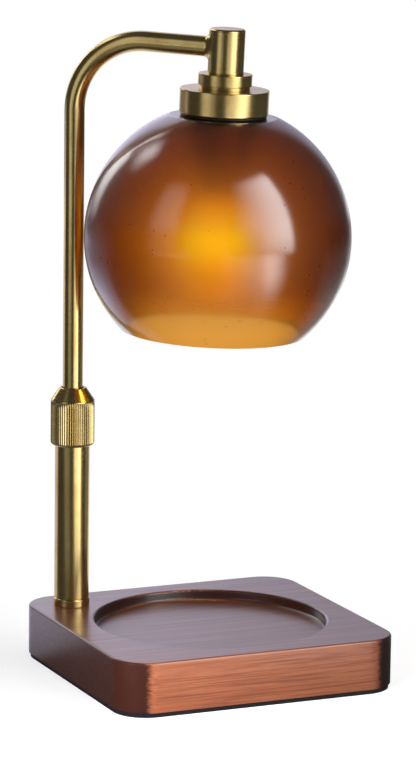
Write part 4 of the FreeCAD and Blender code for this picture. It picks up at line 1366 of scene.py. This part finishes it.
@dataclass
class Shade:
    """The glass globe, its gasket, and the ring and sleeve that hold it, by radii and heights in mm."""

    head: Head
    outside: float = 67.5
    wall: float = 2.8
    shoulder: float = 27.6
    rim: float = 47.4
    rim_round: float = 1.0
    gasket: float = 21.8
    gasket_height: float = 1.6
    hole: float = 15.1
    holder: float = 14.5
    holder_bore: float = 13.0
    holder_roof: float = 1.6
    holder_length: float = 33.5
    ring: float = 20.0
    ring_height: float = 4.0
    seal: float = 1.2

    def build(self) -> None:
        """Make the globe and what shows of its mounting."""
        place = self.head.arm.head
        cup_bottom = -self.head.below - self.head.collar_height - self.head.cup_height
        top = cup_bottom - self.gasket_height
        ceiling = -self.head.below - self.head.collar_height - self.head.cup_roof
        bulge = self.gasket_height / 2
        gasket = [
            Corner(self.hole, top),
            Corner(self.gasket - bulge, top),
            *arc((self.gasket - bulge, top + bulge), bulge, -75, 75, 6),
            Corner(self.gasket - bulge, cup_bottom),
            Corner(self.hole, cup_bottom),
        ]
        turned_piece("rubber_gasket", gasket, place, GASKET_RUBBER, Body.ARM, "shade_gasket")
        middle = top - math.sqrt(self.outside**2 - self.shoulder**2)
        self.build_glass(place, top, middle)
        low = top - self.wall - self.seal
        ring = tube_outline(self.holder + 0.05, self.ring, low - self.ring_height, low, 0.4)
        turned_piece("retaining_ring", ring, place, TURNED_BRASS, Body.ARM, "shade_ring")
        sleeve = [
            Corner(self.head.stud, ceiling - self.holder_roof),
            Corner(self.holder_bore, ceiling - self.holder_roof),
            Corner(self.holder_bore, ceiling - self.holder_length),
            Corner(self.holder, ceiling - self.holder_length, 0.25),
            Corner(self.holder, ceiling, 0.25),
            Corner(self.head.stud, ceiling),
        ]
        turned_piece("threaded_sleeve", sleeve, place, TURNED_BRASS, Body.ARM, "holder_sleeve")

    def build_glass(self, place: Matrix, top: float, middle: float) -> None:
        """Make the globe: a flat shoulder, a round belly and a rounded open rim.

        Args:
            place: The head's axis.
            top: Height of the shoulder along it.
            middle: Height of the globe's middle along it.
        """
        inside = self.outside - self.wall
        rim_z = middle - math.sqrt(self.outside**2 - self.rim**2)
        shoulder_angle = math.degrees(math.atan2(top - middle, self.shoulder))
        rim_angle = math.degrees(math.atan2(rim_z - middle, self.rim))
        ceiling = top - self.wall
        ceiling_radius = math.sqrt(inside**2 - (ceiling - middle) ** 2)
        ceiling_angle = math.degrees(math.atan2(ceiling - middle, ceiling_radius))
        lip_radius = math.sqrt(inside**2 - (rim_z - middle) ** 2)
        lip_angle = math.degrees(math.atan2(rim_z - middle, lip_radius))
        inner_curve = arc((0, middle), inside, ceiling_angle - 1.2, lip_angle + 1.1, 60)
        outer_curve = arc((0, middle), self.outside, rim_angle + 1.1, shoulder_angle - 1.2, 66)
        outline = [
            Corner(self.hole, top, 0.4),
            Corner(self.hole, ceiling, 0.4),
            Corner(ceiling_radius, ceiling, 0.8),
            *inner_curve,
            Corner(lip_radius, rim_z, self.rim_round),
            Corner(self.rim, rim_z, self.rim_round),
            *outer_curve,
            Corner(self.shoulder, top, 0.8),
        ]
        turned_piece("amber_globe", outline, place, AMBER, Body.ARM, "glass_shade", steps=160)


@dataclass
class Bulb:
    """The twist-lock reflector bulb, by radii and by heights along the head's axis, in mm."""

    arm: Arm
    top: float = -59.15
    base: float = 9.5
    base_wide: float = 10.5
    base_height: float = 15.0
    socket: float = 6.0
    neck: float = 8.0
    mouth: float = 17.5
    depth: float = 44.0
    band: float = 3.0
    wall: float = 1.4
    belly: float = 52.0
    lens: float = 2.0
    capsule: float = 4.5
    capsule_length: float = 34.0

    def flare(self, neck: Span, mouth: Span, steps: int) -> list[Corner]:
        """Curve the reflector's side.

        Args:
            neck: Radius and height of its neck.
            mouth: Radius and height of its mouth.
            steps: Number of steps between them.

        Returns:
            The corners from the neck to the mouth.
        """
        start, finish = Vector(neck), Vector(mouth)
        along = finish - start
        half = along.length / 2
        side = Vector((along.y, -along.x)).normalized()
        centre = (start + finish) / 2 + side * math.sqrt(self.belly**2 - half**2)
        corners = []
        first = start - centre
        total = first.angle_signed(finish - centre)
        for step in range(steps + 1):
            spoke = first.copy()
            spoke.rotate(Matrix.Rotation(-total * step / steps, 2))
            corners.append(Corner(*(centre + spoke)))
        return corners

    def build(self) -> None:
        """Make the bulb's base, reflector, front glass and burner."""
        place = self.arm.head
        base_low = self.top - self.base_height
        socket_top = base_low + self.socket
        base = [
            Corner(0, socket_top),
            Corner(self.neck + 0.05, socket_top),
            Corner(self.neck + 0.05, base_low),
            Corner(self.base_wide, base_low, 0.5),
            Corner(self.base, self.top, 0.8),
            Corner(0, self.top),
        ]
        turned_piece("ceramic_base", base, place, STEATITE, Body.BULB, "bulb_base", closed=False)
        low = base_low - self.depth
        band_top = low + self.band
        outer = self.flare((self.neck, base_low), (self.mouth, band_top), 22)
        inner = self.flare((self.neck - self.wall, base_low), (self.mouth - self.wall, band_top), 22)
        reflector = [
            Corner(self.neck - self.wall, socket_top),
            Corner(self.neck, socket_top),
            *outer,
            Corner(self.mouth, low, 0.2),
            Corner(self.mouth - self.wall, low, 0.2),
            *inner[::-1],
        ]
        turned_piece("mirror_reflector", reflector, place, MIRROR_COAT, Body.BULB, "bulb_reflector")
        front = [
            Corner(0, low),
            Corner(self.mouth - 0.4, low, 0.15),
            Corner(self.mouth - self.wall, low - self.lens, 0.5),
            Corner(0, low - self.lens),
        ]
        turned_piece("front_glass", front, place, BULB_GLASS, Body.BULB, "bulb_lens", closed=False)
        tip = socket_top - self.capsule_length
        burner = [
            Corner(0, socket_top),
            Corner(self.capsule, socket_top),
            Corner(self.capsule, tip + self.capsule, 2.0),
            Corner(self.capsule / 3, tip, 0.8),
            Corner(0, tip),
        ]
        turned_piece(
            "burner", burner, place, BURNER_GLASS, Body.BULB, "bulb_capsule", closed=False, steps=48
        )


# Studio


def hide(made: bpy.types.Object, *kinds: str) -> None:
    """Hide an object from kinds of light ray."""
    for kind in kinds:
        setattr(made, "visible_" + kind, False)


@dataclass
class Camera:
    """The studio camera, in degrees and millimetres.

    Attributes:
        yaw: Direction from the lamp, from the front to the right.
        pitch: How far it looks down.
        roll: How far it leans.
        focal: Focal length in pixels.
        distance: Distance from the point that it looks at.
        right: How far it is moved to its right.
        up: How far it is moved up.
        aim_height: Height of that point on the middle of the base.
        frame_height: Height of the picture in pixels.
        sensor: Height of the sensor.
        clip: Nearest and farthest distance that it sees, in metres.
    """

    yaw: float = -24.2
    pitch: float = 10.8
    roll: float = 0.77
    focal: float = 3710.0
    distance: float = 1885.5
    right: float = -1.5
    up: float = 2.15
    aim_height: float = 150.0
    frame_height: float = 761.0
    sensor: float = 36.0
    clip: Span = (0.05, 100.0)

    def way(self, turn: float) -> Vector:
        """The level direction at an angle in degrees, to the right of the camera's."""
        angle = math.radians(self.yaw + turn)
        return Vector((math.sin(angle), -math.cos(angle), 0))

    def build(self) -> None:
        """Make the camera and take the picture through it."""
        tilt = math.radians(self.pitch)
        side = self.way(90)
        back = self.way(0) * math.cos(tilt) + Vector((0, 0, math.sin(tilt)))
        above = back.cross(side)
        spot = back * self.distance + side * self.right + above * self.up
        spot.z += self.aim_height
        data = bpy.data.cameras.new("studio_camera")
        data.sensor_width = self.sensor
        data.lens = self.sensor * self.focal / self.frame_height
        data.clip_start, data.clip_end = self.clip
        made = add_object("studio_camera", data)
        turn = Matrix((side, above, back)).transposed().to_4x4()
        roll = Matrix.Rotation(math.radians(self.roll), 4, "Z")
        made.matrix_world = Matrix.Translation(spot * MM) @ turn @ roll
        bpy.context.scene.camera = made


@dataclass(frozen=True)
class SoftLamp:
    """A soft lamp that lights surfaces without showing in them, in metres, degrees and watts.

    Attributes:
        name: Name of the lamp.
        side: Direction to the right of the camera's.
        rise: Height above the horizon.
        distance: Distance from the point that it faces.
        power: Its power.
        size: Its width.
        lift: Height of that point.
    """

    name: str
    side: float
    rise: float
    distance: float
    power: float
    size: float
    lift: float = 0.02

    def build(self, camera: Camera) -> None:
        """Make the lamp.

        Args:
            camera: The camera that its direction is taken from.
        """
        data = bpy.data.lights.new(self.name, "AREA")
        data.energy, data.size = self.power, self.size
        height = math.radians(self.rise)
        way = camera.way(self.side) * math.cos(height) + Vector((0, 0, math.sin(height)))
        made = add_object(self.name, data)
        made.location = way * self.distance + Vector((0, 0, self.lift))
        made.rotation_mode = "QUATERNION"
        made.rotation_quaternion = (-way).to_track_quat("-Z", "Y")
        hide(made, "camera", "glossy", "transmission")


@dataclass(frozen=True)
class LightCard:
    """A curved sheet of light round the lamp that shows in reflections, in metres and degrees.

    Attributes:
        name: Name of the card.
        start: First direction, to the right of the camera's.
        finish: Last direction.
        low: Lower edge.
        high: Upper edge.
        strength: Brightness, where 1 is white.
        fade: Shares that fade out at the start, finish, bottom and top.
        distance: Distance from the lamp.
        steps: Flat strips that it is made of.
    """

    name: str
    start: float
    finish: float
    low: float
    high: float
    strength: float
    fade: tuple[float, float, float, float]
    distance: float = 2.0
    steps: int = 12

    def paint(self) -> bpy.types.Material:
        """An even glow that fades out towards the edges.

        Returns:
            The card's material.
        """
        material, tree = new_material(self.name)
        point = tree.node("UVMap", uv_map=WRAP).outputs[0]
        across, up = tree.part(point, "X"), tree.part(point, "Y")
        start, finish, bottom, top = self.fade
        strength = tree.times(
            tree.fade(across, (0.0, start)),
            tree.fade(across, (1.0, 1.0 - finish)),
            tree.fade(up, (0.0, bottom)),
            tree.fade(up, (1.0, 1.0 - top)),
            self.strength,
        )
        tree.output(tree.shader("Emission", {"Strength": strength}))
        return material

    def build(self, camera: Camera) -> None:
        """Make the card round the lamp.

        Args:
            camera: The camera that its directions are taken from.
        """
        bm = bmesh.new()
        layer = bm.loops.layers.uv.new(WRAP)
        columns = []
        for step in range(self.steps + 1):
            way = camera.way(self.start + (self.finish - self.start) * step / self.steps)
            foot = way * self.distance
            columns.append([bm.verts.new(foot + Vector((0, 0, z))) for z in (self.low, self.high)])
        for step, ((a, b), (c, d)) in enumerate(zip(columns, columns[1:])):
            face = bm.faces.new((a, c, d, b))
            left, right = step / self.steps, (step + 1) / self.steps
            for loop, uv in zip(face.loops, ((left, 0), (right, 0), (right, 1), (left, 1))):
                loop[layer].uv = uv
        made = add_mesh(self.name, bm, self.paint())
        hide(made, "camera", "shadow", "diffuse", "transmission")


@dataclass(frozen=True)
class FloorBand:
    """A bright sector painted on the table as a reflection, in degrees to the right of the camera's
    direction.

    Attributes:
        start: Where it begins.
        full: Where it is fully bright.
        fall: Where it begins to fade.
        finish: Where it ends.
        near: Brightness near the lamp, where 1 is white.
        far: Brightness further out.
        outer: Share of it left at the light cards.
    """

    start: float
    full: float
    fall: float
    finish: float
    near: float
    far: float
    outer: float = 0.4


@dataclass
class Studio:
    """A pale floor, soft light and the camera, in metres and in degrees to the right of the camera.

    "The table" is the floor as metal and glass show it, with painted reflections: bright sectors, a pale
    patch and a tint.

    Attributes:
        camera: The camera.
        ambient: Brightness of the room for dull surfaces.
        backdrop: Brightness of the table behind the lamp.
        gloom: Brightness of the rest of the table and room.
        sweep: Directions where the white sweep behind the lamp begins and is full.
        sweep_top: Heights of view where it has ended and is full.
        sky: Its colour in metal and glass.
        sky_split: How far to the right its bright side ends and its dim side begins.
        sky_level: Brightness of the two.
        rear: Directions where the table begins to have the sky's colour and has it.
        rear_end: Directions where it has lost it and begins to lose it.
        patch: Brightness of a painted reflection on the table close to the base, which the base's side
            shows.
        patch_side: Direction of that patch.
        patch_reach: Distances that way where it begins and is full.
        patch_start: Directions where it begins and is full.
        patch_end: Directions where it has ended and begins to end.
        footprint: Distances where the table begins and is full, under the base's edge.
        near_reach: Distances where the bands begin and are full.
        far_reach: Distances where their near brightness ends and the far one is full.
        outer_reach: Distances where they begin to dim towards the cards and are dim.
        floor_reach: Radius of the floor.
        floor_drop: How far it is below the lamp, to keep the two apart.
        floor_colour: Its colour close to the lamp.
        floor_white: Distances where it begins to turn white and is white.
        dull: Its colour for dull surfaces.
        shadow_side: Direction where its painted shadow is darkest.
        shadow_turn: How far from there the painted shadow begins to lift and has gone.
        shadow_glow: Its own light in the two, which paints that shadow.
        lamps: The soft lamps.
        cards: The light cards.
        bands: The table's bright sectors, which are painted reflections.
    """

    camera: Camera = field(default_factory=Camera)
    ambient: float = 0.25
    backdrop: float = 0.95
    gloom: float = 0.06
    sweep: Span = (147.0, 162.0)
    sweep_top: Span = (0.75, 0.6)
    sky: Colour = (0.82, 0.80, 1.0)
    sky_split: Span = (-0.05, 0.05)
    sky_level: Span = (1.24, 0.5)
    rear: Span = (-96.0, -108.0)
    rear_end: Span = (-170.0, -150.0)
    patch: float = 0.68
    patch_side: float = -131.6
    patch_reach: Span = (0.02, 0.16)
    patch_start: Span = (-95.0, -105.0)
    patch_end: Span = (-172.0, -160.0)
    footprint: Span = (0.066, 0.071)
    near_reach: Span = (0.13, 0.25)
    far_reach: Span = (1.28, 1.6)
    outer_reach: Span = (1.66, 1.86)
    floor_reach: float = 6.0
    floor_drop: float = 0.05 * MM
    floor_colour: Colour = (0.72, 0.72, 0.75)
    floor_white: Span = (0.1, 0.24)
    dull: Colour = (0.35, 0.35, 0.36)
    shadow_side: float = -75.0
    shadow_turn: Span = (20.0, 95.0)
    shadow_glow: Span = (0.5, 0.82)
    lamps: tuple[SoftLamp, ...] = (SoftLamp("key_lamp", -22, 5, 0.42, 3.75, 0.2),)
    cards: tuple[LightCard, ...] = (
        LightCard("key_card", 10, 70, -0.6, 3.4, 5.0, (0.93, 0.1, 0.3, 0.22)),
        LightCard("fill_card", -68, -29, -0.3, 3.0, 0.75, (0.42, 0.3, 0.12, 0.4)),
        LightCard("rim_card", -152, -129, -0.05, 2.5, 3.0, (0.3, 0.35, 0.4, 0.3)),
        LightCard("high_card", -140, -104, 1.3, 2.9, 3.0, (0.5, 0.45, 0.5, 0.4)),
    )
    bands: tuple[FloorBand, ...] = (
        FloorBand(0, 14, 46, 60, 1.8, 1.6, 0.75),
        FloorBand(30, 46, 52, 65, 1.6, 1.8, 0.75),
        FloorBand(-60, -52, -30, -18, 0.2, 1.7, 0.22),
        FloorBand(98, 108, 150, 160, 0.2, 0.0),
        FloorBand(143, 151, 165, 175, 0.35, 0.0),
        FloorBand(-160, -150, -112, -104, 0.9, 1.7),
    )

    def build(self) -> None:
        """Make the studio."""
        self.camera.build()
        self.build_floor()
        self.build_world()
        for light in (*self.cards, *self.lamps):
            light.build(self.camera)
        LOG.info("studio: %d light cards, %d lamps", len(self.cards), len(self.lamps))

    def turn(self, tree: Tree, vector: Socket) -> Socket:
        """A direction's angle in degrees, to the right of the camera's."""
        parts = [tree.dot(vector, self.camera.way(angle)) for angle in (90, 0)]
        return tree.times(tree.math("ARCTAN2", *parts), math.degrees(1))

    def behind(self, tree: Tree, turn: Socket) -> Socket:
        """How far a direction points at the white sweep behind the lamp, from 0 to 1."""
        return tree.fade(tree.math("ABSOLUTE", turn), self.sweep)

    def shine(self, tree: Tree, point: Socket, far: Socket) -> tuple[Socket, Socket]:
        """Paint the reflections that the table shows to metal and glass.

        Args:
            tree: The floor's tree.
            point: The point on the floor.
            far: Its distance from the middle.

        Returns:
            The brightness there, and how far it has the sky's colour.
        """
        turn = self.turn(tree, point)
        level = tree.remap(self.behind(tree, turn), (0.0, 1.0), (self.gloom, self.backdrop))
        reach = tree.fade(far, self.near_reach)
        for band in self.bands:
            lit = tree.times(
                tree.fade(turn, (band.start, band.full)),
                tree.fade(turn, (band.finish, band.fall)),
                reach,
                tree.remap(far, self.far_reach, (band.near, band.far), smooth=True),
                tree.remap(far, self.outer_reach, (1.0, band.outer), smooth=True),
            )
            level = tree.plus(level, lit)
        level = tree.plus(level, self.painted_side_reflection(tree, point, turn, reach))
        tint = tree.times(tree.fade(turn, self.rear), tree.fade(turn, self.rear_end))
        return tree.times(level, tree.remap(far, self.footprint, (0.0, 1.0))), tint

    def painted_side_reflection(self, tree: Tree, point: Socket, turn: Socket, reach: Socket) -> Socket:
        """A painted reflection: the pale table close to the base, at its back left, which the base's side
        shows.

        Args:
            tree: The floor's tree.
            point: The point on the floor.
            turn: Its direction.
            reach: How far the bright sectors have begun there.

        Returns:
            The brightness that it adds.
        """
        along = tree.dot(point, self.camera.way(self.patch_side))
        patch = tree.remap(along, self.patch_reach, (0.0, self.patch), smooth=True)
        sector = (tree.fade(turn, self.patch_start), tree.fade(turn, self.patch_end))
        return tree.times(*sector, patch, tree.minus(1.0, reach))

    def build_floor(self) -> None:
        """Make the floor: white to the eye and the glass, with a faint shadow, partly cast and partly
        painted, painted reflections for metal and glass, and clear from below.
        """
        material, tree = new_material("pale_floor")
        material.cycles.emission_sampling = "NONE"
        ray = tree.node("LightPath")
        geometry = tree.node("NewGeometry")
        point = geometry.outputs["Position"]
        far = tree.length(point)
        # Painted shadow: the floor's own light dims towards one side.
        off = tree.math("ABSOLUTE", tree.minus(self.turn(tree, point), self.shadow_side))
        glow = tree.remap(off, self.shadow_turn, self.shadow_glow, smooth=True)
        glow = tree.shader("Emission", {"Strength": glow})
        table = tree.shader("BsdfDiffuse", {"Color": self.floor_colour})
        table = tree.shader("AddShader", {0: table, 1: glow})
        white = tree.shader("Emission", {"Strength": 1.0})
        seen = tree.shaders(tree.fade(far, self.floor_white), table, white)
        # Painted reflections, which only metal and glass see.
        level, tint = self.shine(tree, point, far)
        shine = tree.shader("Emission", {"Color": tree.blend(tint, WHITE, self.sky), "Strength": level})
        eye = tree.math("MAXIMUM", ray.outputs["Is Camera Ray"], ray.outputs["Is Transmission Ray"])
        plain = tree.shaders(eye, tree.shader("BsdfDiffuse", {"Color": self.dull}), seen)
        surface = tree.shaders(ray.outputs["Is Glossy Ray"], plain, shine)
        tree.output(tree.shaders(geometry.outputs["Backfacing"], surface, tree.shader("BsdfTransparent")))
        bm = bmesh.new()
        bmesh.ops.create_circle(bm, cap_ends=True, segments=96, radius=self.floor_reach)
        made = add_mesh("floor", bm, material)
        made.location.z = -self.floor_drop

    def build_world(self) -> None:
        """White to the eye and to the glass, a white sweep behind in reflections, dim elsewhere."""
        world = bpy.data.worlds.new("studio")
        world.use_nodes = True
        bpy.context.scene.world = world
        tree = Tree(world.node_tree)
        ray = tree.node("LightPath")
        way = tree.node("TexCoord").outputs["Generated"]
        sweep = tree.times(
            self.behind(tree, self.turn(tree, way)), tree.fade(tree.part(way, "Z"), self.sweep_top)
        )
        sky = tree.remap(tree.dot(way, self.camera.way(90)), self.sky_split, self.sky_level)
        shine = tree.plus(self.gloom, tree.times(sweep, sky))
        eye = tree.math("MAXIMUM", ray.outputs["Is Camera Ray"], ray.outputs["Is Transmission Ray"])
        strength = tree.mix(eye, tree.mix(ray.outputs["Is Glossy Ray"], self.ambient, shine), 1.0)
        tinted = tree.times(sweep, ray.outputs["Is Glossy Ray"], tree.minus(1.0, eye))
        colour = tree.blend(tinted, WHITE, self.sky)
        light = tree.shader("Background", {"Color": colour, "Strength": strength})
        tree.node("OutputWorld", {"Surface": light})


def dress_nodes() -> None:
    """Give each node that stays as it is its finish."""
    for name, finish in CARRIED_OVER.items():
        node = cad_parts[name]
        for slot in node.material_slots:
            slot.material = finish.material()
        LOG.info("%s: keeps its shape, %s", name, finish.name)


def main() -> None:
    """Build the lamp and its studio."""
    logging.basicConfig(level=logging.INFO, format="%(message)s")
    bpy.context.scene.view_settings.view_transform = "Standard"
    Studio().build()
    post = Post()
    arm = Arm(post)
    head = Head(arm)
    for part in (post, arm, head, Shade(head), Bulb(arm)):
        part.build()
    dress_nodes()


if __name__ == "__main__":
    main()
